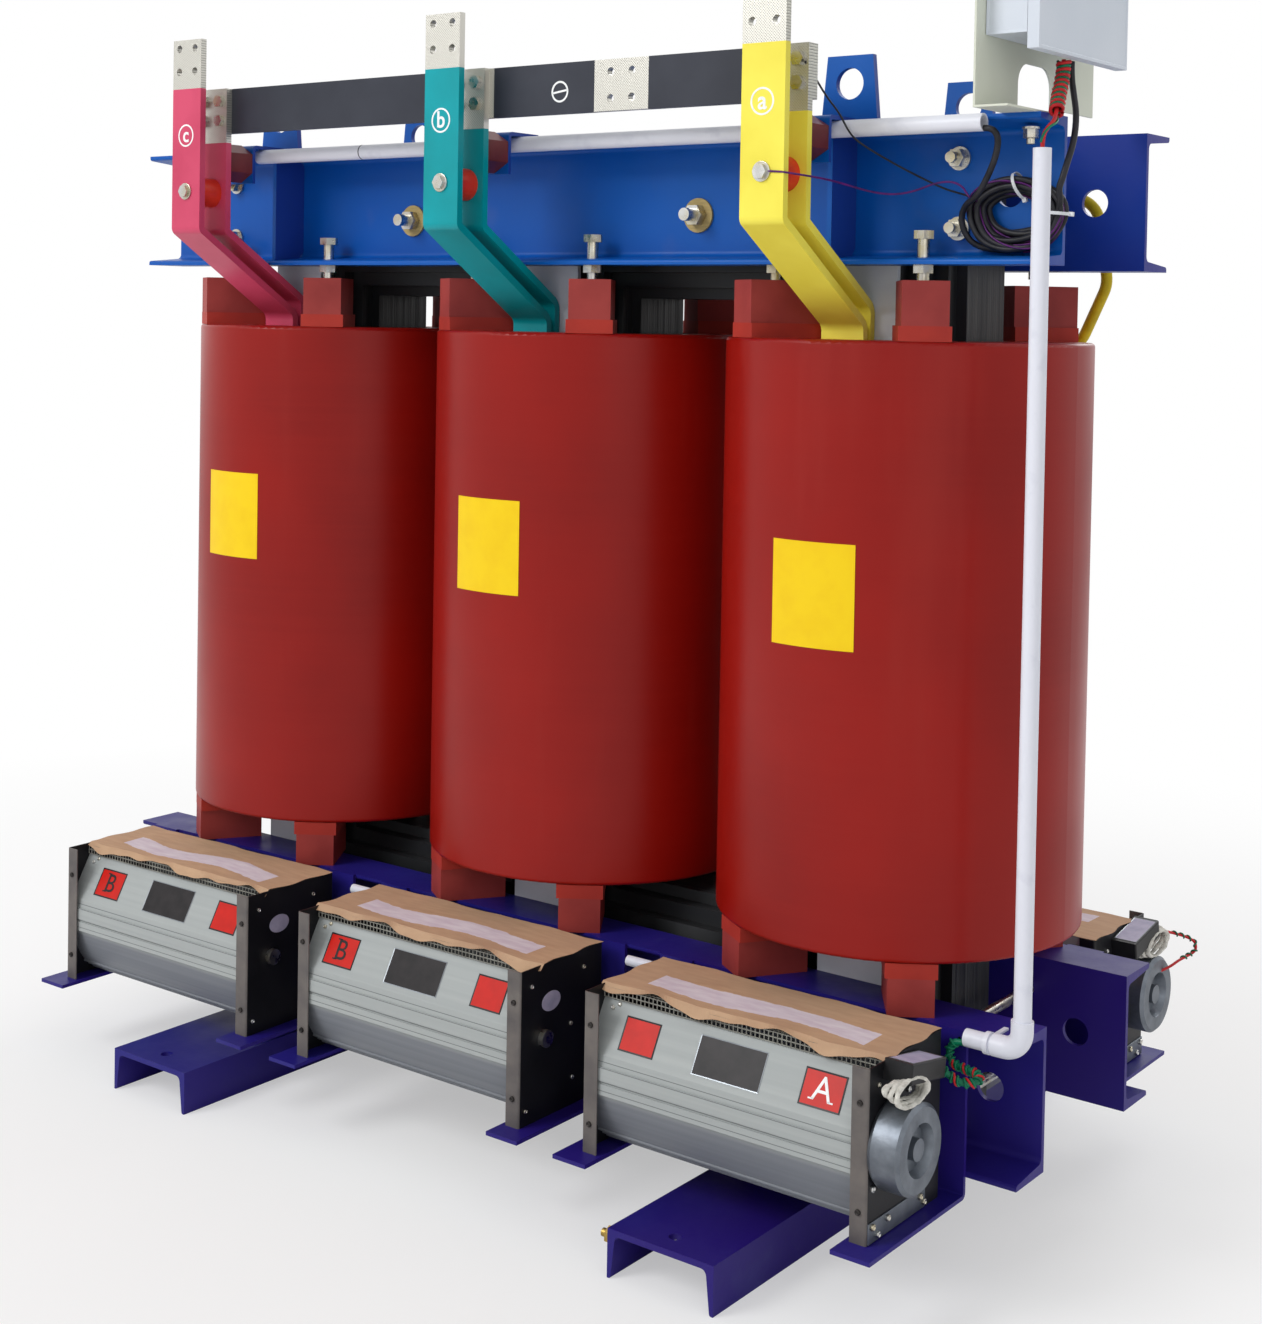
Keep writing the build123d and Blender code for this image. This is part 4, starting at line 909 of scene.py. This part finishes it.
# Fans
# Cross-flow fans: shells of extruded aluminium in satin grey, end plates of black sheet whose
# flanges are worn grey, and impellers inside. Their capacitors are of moulded black plastic.
belly_top_z = 0.205
panel_base_z = 0.215
groove_heights = (0.263, 0.255, 0.2335, 0.2215)
half_groove = 0.0007
flange_inner_y = 0.4475
fan_grey = Finish("fan_shell_paint", roughness=0.5, specular=0.3)
fan_grain = fan_grey.noise(3, 4, stretch=(0.4, 40, 40))
fan_streaks = fan_grey.ramp(fan_grain, 0.3, 0.7)
panel_grey = fan_grey.mix(fan_streaks, shown(168, 173, 172), shown(161, 166, 166))
belly_grey = fan_grey.mix(fan_streaks, shown(124, 128, 134), shown(116, 120, 127))
on_panel = fan_grey.ramp(fan_grey.z, belly_top_z, panel_base_z)
shell_grey = fan_grey.mix(on_panel, belly_grey, panel_grey)
# Painted shade: thin dark lines at the groove heights.
groove_shade = abs(fan_grey.z - groove_heights[0]) < half_groove
for groove_z in groove_heights[1:]:
    groove_shade = fan_grey.either(groove_shade, abs(fan_grey.z - groove_z) < half_groove)
fan_grey.colour(fan_grey.mix(groove_shade * 0.7, shell_grey, shown(92, 96, 98)))
fan_grey.rough(fan_grey.ramp(fan_grain, 0.3, 0.7, 0.42, 0.6))
dress(fan_grey, "fan_shells")
fan_black = Finish("fan_plate_paint", roughness=0.42)
sheet_clouds = fan_black.ramp(fan_black.noise(12, 5), 0.4, 0.8)
sheet_black = fan_black.mix(sheet_clouds, shown(20, 20, 23), shown(32, 32, 36))
wear = fan_black.ramp(fan_black.noise(25, 4), 0.3, 0.7)
flange_grey = fan_black.mix(wear, shown(112, 106, 102), shown(88, 84, 84))
flange = abs(fan_black.y) > flange_inner_y
fan_black.colour(fan_black.mix(flange, sheet_black, flange_grey))
fan_black.bump(fan_black.noise(90, 3), 0.0004, 0.3)
dress(fan_black, "fan_end_plates")
cast = mottled(
    "cast_aluminium", shown(128, 134, 142), shown(100, 106, 114), 35, 5, roughness=0.42, metallic=0.85
)
cast.bump(cast.noise(140, 4), 0.0006, 0.5)
dress(cast, "fan_motors", "fan_impellers")
moulded = mottled("moulded_black", shown(22, 22, 24), shown(38, 38, 40), 30, 4, roughness=0.4)
dress(moulded, "fan_capacitors")

# Controller
# Folded steel box in pale powder coat with sunk edges and a shallow tray for a door. It is
# screwed to a sheet bracket of a warmer grey.
case_size = (0.060, 0.284, 0.178)
case_middle = (0.897, -0.142, 1.815)
door_size = (0.018, 0.284, 0.200)
door_middle = (0.936, -0.142, 1.804)
sheet_fold = 0.0012
front_border = 0.004
base_border = 0.012
base_sunk = 0.003
tray_wall = 0.0016
tray_depth = 0.012
panel_sunk = 0.0008


def new_box(size, middle):
    bpy.ops.mesh.primitive_cube_add(size=1)
    bpy.ops.object.mode_set(mode="EDIT")
    bpy.ops.transform.resize(value=size)
    bpy.ops.transform.translate(value=middle)
    bpy.ops.object.mode_set(mode="OBJECT")
    return bpy.context.object


def sunk(piece, chosen, borders, move):
    """Leaves borders round the chosen faces and moves what is inside them."""
    pick_faces(piece, chosen)
    for border in borders:
        bpy.ops.mesh.inset(thickness=border)
    bpy.ops.transform.translate(value=move)
    bpy.ops.object.mode_set(mode="OBJECT")


def at_door_end(face):
    return abs(face.normal.y) > 0.9 and abs(face.center.x - door_middle[0]) < 0.001


coat_pale = mottled("controller_coat", shown(216, 222, 231), shown(204, 212, 223), 4, 3, roughness=0.5)
coat_pale.bump(coat_pale.noise(400, 2), 0.0003, 0.4)
dress(coat_pale, "controller_box")
case = new_box(case_size, case_middle)
sunk(case, lambda face: face.normal.y < -0.9, [front_border], (0, sheet_fold, 0))
sunk(case, lambda face: face.normal.z < -0.9, [base_border], (0, 0, base_sunk))
door = new_box(door_size, door_middle)
sunk(door, lambda face: face.normal.x < -0.9, [tray_wall], (tray_depth, 0, 0))
sunk(door, lambda face: face.normal.x > 0.9, [front_border, sheet_fold], (-panel_sunk, 0, 0))
bevelled(door, at_door_end, fine_bevel, 1)
controller = join("controller_case", [case, door])
set_piece(controller, coat_pale)
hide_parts("controller_box")
coat_warm = mottled("bracket_coat", shown(216, 220, 204), shown(204, 208, 194), 4, 3, roughness=0.5)
coat_warm.bump(coat_warm.noise(400, 2), 0.0003, 0.4)
dress(coat_warm, "controller_bracket")

# Conduits
# Rigid white PVC tube, faintly scuffed, along the top clamp and up to the controller. A thin dark
# ring of painted shade shows where two lengths of the long one meet.
pvc = Finish("white_pvc", roughness=0.3)
scuffs = pvc.ramp(pvc.noise(30, 6), 0.58, 0.75)
pvc.colour(pvc.mix(scuffs * 0.4, shown(226, 228, 238), shown(198, 201, 216)))
dress(pvc, "top_conduit", "riser_conduit", "conduit_fittings")
# Painted shade: a dark ring for the shade in the gap where the two lengths meet.
joint_shade = mottled("joint_shadow", shown(30, 28, 40), shown(58, 56, 70), 200, 3, roughness=0.7)


def facing_right(x, y, z):
    """Turns a piece that was drawn upright so that its top looks right."""
    return Matrix.Translation((x, y, z)) @ Matrix.Rotation(pi / 2, 4, "Y")


joint_radius = 0.0127
joint_length = 0.0022
joint_place = (-0.343, -0.2355, 1.6145)
joint = upright_disc(40, joint_radius, joint_length)
joint.name = "conduit_joint"
bevelled(joint, lambda face: abs(face.normal.z) > 0.9, 0.0002, 1)
joint.data.transform(facing_right(*joint_place))
set_piece(joint, joint_shade)

# Lead sleeves
# Short ends of thin white conduit before the bottom clamp. The leads of two fans pass through
# them.
sleeve_radius = 0.008
sleeve_length = 0.046
sleeve_wall = 0.0016
sleeve_y = -0.2475
sleeve_z = 0.341
for fan, sleeve_x in (("middle", -0.307), ("right", 0.2905)):
    lead_sleeve = upright_disc(28, sleeve_radius, sleeve_length)
    lead_sleeve.name = f"lead_sleeve_{fan}"
    pick_faces(lead_sleeve, lambda face: abs(face.normal.z) > 0.9)
    bpy.ops.mesh.inset(thickness=sleeve_wall, use_individual=True)
    bpy.ops.transform.resize(value=(1, 1, 0.4))
    bpy.ops.object.mode_set(mode="OBJECT")
    bpy.ops.object.shade_smooth_by_angle(angle=radians(30))
    lead_sleeve.data.transform(facing_right(sleeve_x, sleeve_y, sleeve_z))
    set_piece(lead_sleeve, pvc)

# Controller's foot bolt
# Zinc-plated steel bolt that holds the controller's bracket to the clamp. Its washer, nut and
# thread end show under the clamp's flange.
foot_bolt_place = (0.887, -0.184, 1.5905)
foot_bevel = 0.0012
foot_washer = upright_disc(32, 0.0125, 0.003, 0.0185)
foot_nut = upright_disc(6, 0.0105, 0.013, 0.0105)
foot_end = upright_disc(24, 0.006, 0.024, 0.008)
for part in (foot_nut, foot_end):
    bevelled(part, lambda face: face.normal.z < -0.9, foot_bevel)
foot_bolt = join("controller_foot_bolt", [foot_washer, foot_nut, foot_end])
foot_bolt.data.transform(Matrix.Translation(foot_bolt_place))
set_piece(foot_bolt, zinc)

# Earthing bolt
# Plain brass bolt in the inner side of the right base rail, where the earth lead is clamped. The
# tap studs on the coils are of the same brass.
brass = mottled(
    "earth_brass", shown(200, 170, 96), shown(160, 132, 70), 60, 4, roughness=0.35, metallic=1.0
)
dress(brass, "earth_bolt", "tap_studs")

# High-voltage rods and posts
# Copper rods in wrinkled heat-shrink sleeve of the phase's colour. They end on ribbed posts of
# brown cast resin.
for phase, lit, shaded in (
    ("a", shown(214, 190, 30), shown(178, 156, 18)),
    ("b", shown(20, 130, 84), shown(12, 100, 66)),
    ("c", shown(190, 40, 36), shown(150, 28, 28)),
):
    sleeve = mottled(f"rod_sleeve_{phase}", lit, shaded, 30, 5, roughness=0.5)
    sleeve.bump(sleeve.noise(70, 5), 0.0015, 0.6)
    dress(sleeve, f"hv_rods_{phase}")
dress(brown, "hv_posts")


# Fan screws
# Steel screws with cross-recessed pan heads. Those through the front flanges are blackened, and
# those through the end plates are zinc-plated.
fan_names = ("left", "middle", "right")
fan_middles = (-0.613, -0.017, 0.579)
half_fan = 0.238
fan_front_y = 0.45
flange_screw_in = 0.013
flange_screw_heights = (0.170, 0.315)
plate_screws = ((0.300, 0.335), (0.425, 0.335), (0.325, 0.170), (0.436, 0.150), (0.330, 0.255))


def pan_head(radius, height):
    """Screw head that stands on z 0, with a sunk drive in its top."""
    head = upright_disc(16, radius, height, height / 2)
    bevelled(head, lambda face: face.normal.z > 0.9, height * 0.4)
    sunk(head, lambda face: face.normal.z > 0.99, [radius * 0.3], (0, 0, -height * 0.35))
    return head


def set_out(name, radius, height, places, finish):
    """One piece with a screw's head at each place."""
    model = pan_head(radius, height)
    copies = []
    for place in places:
        copy = bpy.data.objects.new(name, model.data.copy())
        copy.data.transform(place)
        scene.collection.objects.link(copy)
        copies.append(copy)
    bpy.data.objects.remove(model)
    return set_piece(join(name, copies), finish)


def facing_out(x, y, z):
    """Turns a piece that was drawn upright so that its top looks to the side that it is on."""
    return Matrix.Translation((x, y, z)) @ Matrix.Rotation(pi / 2 if y < 0 else -pi / 2, 4, "X")


blackened = mottled(
    "blackened_screw", shown(40, 38, 38), shown(70, 66, 64), 90, 3, roughness=0.45, metallic=0.6
)
flange_places = [
    facing_out(x + end * (half_fan - flange_screw_in), side * fan_front_y, z)
    for x in fan_middles
    for side in (-1, 1)
    for end in (-1, 1)
    for z in flange_screw_heights
]
set_out("fan_flange_screws", 0.0042, 0.0030, flange_places, blackened)
plate_places = [
    facing_right(x + half_fan, side * y, z)
    for x in fan_middles
    for side in (-1, 1)
    for y, z in plate_screws
]
set_out("fan_plate_screws", 0.0034, 0.0026, plate_places, zinc)

# Fan stickers and rating plates
# On each shell's sloping face: an orange sticker with a letter, a black plate with a bright
# edge, and a blank square sticker. They are glued on, and words on them are left off.
face_top = (0.4028, 0.342)
face_down = (0.0380 / 0.0797, 0.0700 / 0.0797)
edge_proud = 0.0006
field_sunk = 0.0002
sticker_down = 0.042
sticker_height = 0.050
sticker_edge = 0.0024
rating_height = 0.056
rating_edge = 0.0014
sticker_widths = {"mark": 0.066, "plate": 0.113, "square": 0.062}
fan_letter_size = 0.046
half_letter_depth = 0.0002
letter_lift = 0.0007
serif_size = (0.0085, 0.0022, 0.0004)
serif_spots = {"A": ((min, min), (max, min)), "B": ((min, min), (min, max))}
fan_sides = ((-1, "front"), (1, "back"))
orange_print = mottled("sticker_orange", shown(205, 26, 12), shown(190, 22, 10), 40, 3, roughness=0.35)
ink = mottled("printed_black", shown(22, 20, 22), shown(40, 36, 38), 40, 3, roughness=0.35)
silver_print = mottled(
    "bright_foil", shown(150, 155, 160), shown(126, 131, 137), 40, 3, roughness=0.3, metallic=0.7
)


def sloping_face(x, down, side):
    """Frame on the sloping face, with its z outward and its y up the slope."""
    y = side * (face_top[0] + face_down[0] * down)
    z = face_top[1] - face_down[1] * down
    across = Vector((-side, 0, 0))
    up_slope = Vector((0, -side * face_down[0], face_down[1]))
    outward = across.cross(up_slope)
    turn = Matrix((across, up_slope, outward)).transposed().to_4x4()
    return Matrix.Translation((x, y, z)) @ turn


def edged_plate(name, width, height, edge, field_finish, edge_finish, place):
    """Thin plate with a border of another colour and a field that stands a little lower."""
    bpy.ops.mesh.primitive_plane_add(size=1)
    plate = bpy.context.object
    plate.name = name
    bpy.ops.object.mode_set(mode="EDIT")
    bpy.ops.transform.resize(value=(width, height, 1))
    extruded(edge_proud)
    bpy.ops.mesh.inset(thickness=edge)
    bpy.ops.transform.translate(value=(0, 0, -field_sunk))
    bpy.ops.object.mode_set(mode="OBJECT")
    plate.data.materials.append(edge_finish.material)
    plate.data.materials.append(field_finish.material)
    for face in plate.data.polygons:
        inside = abs(face.center.x) < 0.01 * width and abs(face.center.y) < 0.01 * height
        face.material_index = 1 if inside and face.center.z > 0.0001 else 0
    plate.data.transform(place)
    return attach(plate, "root")


def fan_letter(name, letter, finish, place):
    """Printed letter with two square serifs at corners of its outline."""
    strokes = [solid_letter(letter, fan_letter_size, half_letter_depth)]
    columns = [vertex.co.x for vertex in strokes[0].data.vertices]
    rows = [vertex.co.y for vertex in strokes[0].data.vertices]
    for column, row in serif_spots[letter]:
        strokes.append(new_box(serif_size, (column(columns), row(rows), 0)))
    printed = join(name, strokes)
    printed.data.transform(place @ Matrix.Translation((0, 0, letter_lift)))
    set_piece(printed, finish)


for fan, letter, letter_finish, sticker_places in (
    ("left", "B", ink, {"mark": -0.764, "plate": -0.606, "square": -0.4565}),
    ("middle", "B", ink, {"mark": -0.181, "plate": -0.0185, "square": 0.1365}),
    ("right", "A", print_white, {"square": 0.4225, "plate": 0.5785, "mark": 0.7305}),
):
    for side, side_name in fan_sides:
        for kind, x in sticker_places.items():
            place = sloping_face(x, sticker_down, side)
            name = f"fan_{kind}_{side_name}_{fan}"
            width = sticker_widths[kind]
            if kind == "plate":
                edged_plate(name, width, rating_height, rating_edge, ink, silver_print, place)
            else:
                edged_plate(name, width, sticker_height, sticker_edge, orange_print, ink, place)
            if kind == "mark":
                fan_letter(f"fan_letter_{side_name}_{fan}", letter, letter_finish, place)

# Fan corner pieces, bearing stickers and capacitor labels
# An aluminium strip with screws along the foot of the motor end, a blank oval sticker glued over
# each bearing, and a silver label on each capacitor.
motor_end_x = 0.817
strip_size = (0.028, 0.152, 1)
strip_proud = 0.002
strip_screws = ((0.438, 0.150), (0.424, 0.136), (0.398, 0.149), (0.310, 0.147), (0.300, 0.137))
end_screws = ((0.350, 0.200), (0.437, 0.200), (0.345, 0.306))
shell_screws = ((-0.206, 0.005), (-0.216, 0.012), (0.206, 0.005))
oval_size = (0.030, 0.044, 1)
oval_proud = 0.0005
oval_y = 0.378
oval_z = 0.302
strip_y = 0.371
strip_z = 0.1425
label_length = 0.082
label_width = 0.037
label_edge = 0.0012
capacitor_tilt = radians(10)
capacitor_radius = 0.014
corner_places = []
for side, side_name in fan_sides:
    bpy.ops.mesh.primitive_plane_add(size=1)
    corner = bpy.context.object
    corner.name = f"fan_corner_{side_name}"
    bpy.ops.object.mode_set(mode="EDIT")
    bpy.ops.transform.resize(value=strip_size)
    extruded(strip_proud)
    bpy.ops.mesh.bevel(offset=fine_bevel, segments=2, affect="EDGES")
    bpy.ops.object.mode_set(mode="OBJECT")
    corner.data.transform(facing_right(motor_end_x, side * strip_y, strip_z))
    set_piece(corner, cast)
    for y, z in strip_screws:
        corner_places.append(facing_right(motor_end_x + strip_proud, side * y, z))
    for y, z in end_screws:
        corner_places.append(facing_right(motor_end_x, side * y, z))
set_out("fan_corner_screws", 0.0046, 0.0036, corner_places, zinc)
shell_places = [
    sloping_face(x + along, down, side)
    for x in fan_middles
    for side in (-1, 1)
    for along, down in shell_screws
]
set_out("fan_shell_screws", 0.0032, 0.0024, shell_places, zinc)
lilac = mottled("lilac_label", shown(184, 180, 204), shown(160, 158, 186), 60, 4, roughness=0.4)
for fan, fan_x in zip(fan_names[:2], fan_middles):
    for side, side_name in fan_sides:
        bpy.ops.mesh.primitive_circle_add(vertices=36, radius=0.5, fill_type="NGON")
        oval = bpy.context.object
        oval.name = f"bearing_sticker_{side_name}_{fan}"
        bpy.ops.object.mode_set(mode="EDIT")
        bpy.ops.transform.resize(value=oval_size)
        extruded(oval_proud)
        bpy.ops.object.mode_set(mode="OBJECT")
        oval.data.transform(facing_right(fan_x + half_fan, side * oval_y, oval_z))
        set_piece(oval, lilac)
for side, side_name in fan_sides:
    length_way = Vector((0, side * cos(capacitor_tilt), sin(capacitor_tilt)))
    across_way = Vector((-side, 0, 0))
    outward = length_way.cross(across_way)
    turn = Matrix((length_way, across_way, outward)).transposed().to_4x4()
    middle = Vector((0.838, side * 0.365, 0.345)) + outward * capacitor_radius
    place = Matrix.Translation(middle) @ turn
    name = f"capacitor_label_{side_name}"
    edged_plate(name, label_length, label_width, label_edge, lilac, silver_print, place)

# Capacitor ties
# White cotton tape in three crumpled turns, looped under each capacitor.
# Each turn leans its own way.
tape_radius = 0.0048
tie_y = 0.408
tie_z = 0.330
crumple_size = 0.014
crumple_depth = 0.005
tape_turns = ((0.044, 0.0150, 0.8500, 9), (0.040, 0.0180, 0.8570, 4), (0.047, 0.0120, 0.8430, 14))
cotton = mottled(
    "cotton_tape", shown(232, 230, 222), shown(190, 188, 180), 120, 5, roughness=0.9, specular=0.1
)
cotton.bump(cotton.noise(300, 4), 0.001, 0.8)
crumple = bpy.data.textures.new("crumple", "CLOUDS")
crumple.noise_scale = crumple_size
upright_loop = Matrix.Rotation(pi / 2, 4, "Z") @ Matrix.Rotation(pi / 2, 4, "X")
for side, side_name in fan_sides:
    loops = []
    for half_length, half_height, x, tilt in tape_turns:
        bpy.ops.mesh.primitive_torus_add(
            major_radius=half_length, minor_radius=tape_radius, major_segments=60, minor_segments=8
        )
        loop = bpy.context.object
        bpy.ops.object.mode_set(mode="EDIT")
        bpy.ops.transform.resize(value=(1, half_height / half_length, 1))
        bpy.ops.object.mode_set(mode="OBJECT")
        lean = Matrix.Rotation(radians(side * tilt), 4, "X")
        loop.data.transform(Matrix.Translation((x, side * tie_y, tie_z)) @ lean @ upright_loop)
        loops.append(loop)
    tape = join(f"capacitor_tie_{side_name}", loops)
    rough_up = tape.modifiers.new("crumple", "DISPLACE")
    rough_up.texture = crumple
    rough_up.strength = crumple_depth
    tape.select_set(True)
    bpy.context.view_layer.objects.active = tape
    bpy.ops.object.modifier_apply(modifier="crumple")
    bpy.ops.object.shade_smooth()
    set_piece(tape, cotton)

# Fan guards
# Welded mesh of fine grey wire under each fan's paper. It is held between the end plates, and its
# outer border is folded down to the shell.
fan_top_z = 0.362
fan_top_y = 0.332
guard_length = 0.47
guard_depth = 0.146
guard_drop = 0.0035
guard_wire = 0.002
fold_step = 0.0075
edge_y = fan_top_y + guard_depth / 2 - 0.0001
guard_black = mottled("guard_wire", shown(150, 150, 142), shown(118, 116, 110), 30, 3, roughness=0.5)
guards = []
for x in fan_middles:
    for side in (-1, 1):
        bpy.ops.mesh.primitive_grid_add(x_subdivisions=64, y_subdivisions=20, size=1)
        guard = bpy.context.object
        guard.data.transform(Matrix.Diagonal((guard_length, guard_depth, 1, 1)))
        guard.data.transform(Matrix.Translation((x, side * fan_top_y, fan_top_z - guard_drop)))
        bpy.ops.object.mode_set(mode="EDIT")
        bpy.ops.mesh.select_mode(type="VERT")
        bpy.ops.mesh.select_all(action="DESELECT")
        bpy.ops.object.mode_set(mode="OBJECT")
        for vertex in guard.data.vertices:
            vertex.select = abs(vertex.co.y) > edge_y
        bpy.ops.object.mode_set(mode="EDIT")
        extruded(-fold_step)
        extruded(-fold_step)
        bpy.ops.object.mode_set(mode="OBJECT")
        wires = guard.modifiers.new("wires", "WIREFRAME")
        wires.thickness = guard_wire
        bpy.ops.object.modifier_apply(modifier="wires")
        guards.append(guard)
set_piece(join("fan_guards", guards), guard_black)

# Fan papers
# A sheet of brown wrapping paper with wavy torn edges lies loose on each fan, with a pale strip
# on it that is left bare.
fan_pitch = 0.596
strip_half_width = 0.023
strip_start = 0.115
strip_end = 0.488
bare_strip_y = 0.352
half_depth = 0.0770
half_length = 0.2395
shell_edge_y = 0.404
overhang_slope = 1.6
outer_ragged = 0.0055
inner_ragged = 0.004
ragged_ends = 0.003
bulge = 0.0024
edge_lift = 0.0016
paper_clear = 0.0012
paper_thickness = 0.0005
kraft = Finish("kraft_paper", roughness=0.75, specular=0.2)
along = kraft.x + 0.017 + fan_pitch / 2
cell = kraft.node("ShaderNodeMath", 0, {"operation": "WRAP"}, {0: along, 1: fan_pitch, 2: 0.0})
torn = kraft.wave(cell * 21) * 0.008 + (kraft.noise(40, 3) - 0.5) * 0.012
across = abs(abs(kraft.y) - bare_strip_y + torn)
strip_ends = kraft.both(cell > strip_start, cell < strip_end)
strip = kraft.both(across < strip_half_width, strip_ends)
fibres = kraft.ramp(kraft.noise(22, 8, stretch=(1, 4, 1)), 0.3, 0.7)
crease_shade = kraft.ramp(kraft.noise(9, 5), 0.35, 0.7)
paper_brown = kraft.mix(fibres, shown(198, 164, 132), shown(184, 150, 120))
# Painted shade: darker patches for the shade in the paper's creases.
paper_brown = kraft.mix(crease_shade * 0.4, paper_brown, shown(176, 146, 122))
strip_grey = kraft.mix(fibres, shown(222, 214, 220), shown(204, 190, 202))
kraft.colour(kraft.mix(strip, paper_brown, strip_grey))
kraft.bump(kraft.noise(90, 6), 0.0008, 0.5)
for fan, x, shift in zip(fan_names, fan_middles, (0.0, 1.7, 3.1)):
    for side, side_name in fan_sides:
        bpy.ops.mesh.primitive_grid_add(x_subdivisions=72, y_subdivisions=16, size=2)
        paper = bpy.context.object
        paper.name = f"fan_paper_{side_name}_{fan}"
        for vertex in paper.data.vertices:
            u, v = vertex.co.x, vertex.co.y
            waves = sin(7 * u + shift) * 0.5 + sin(13 * u + 2 * shift) * 0.3 + sin(29 * u + shift) * 0.12
            ragged = outer_ragged if v > 0 else inner_ragged
            out = fan_top_y + v * half_depth + ragged * waves * abs(v)
            drop = max(0.0, out - shell_edge_y) * overhang_slope
            lift = bulge * (1 + sin(5 * u + shift + v)) * (1 - abs(v)) * (1 - u * u)
            lift += edge_lift * (1 + sin(9 * u + 2 * shift)) * max(0.0, v) ** 6
            side_edge = half_length + ragged_ends * sin(6 * v + shift)
            vertex.co = (x + u * side_edge, side * out, fan_top_z + paper_clear + lift - drop)
        solid = paper.modifiers.new("thickness", "SOLIDIFY")
        solid.thickness = paper_thickness
        bpy.ops.object.modifier_apply(modifier="thickness")
        set_piece(paper, kraft)
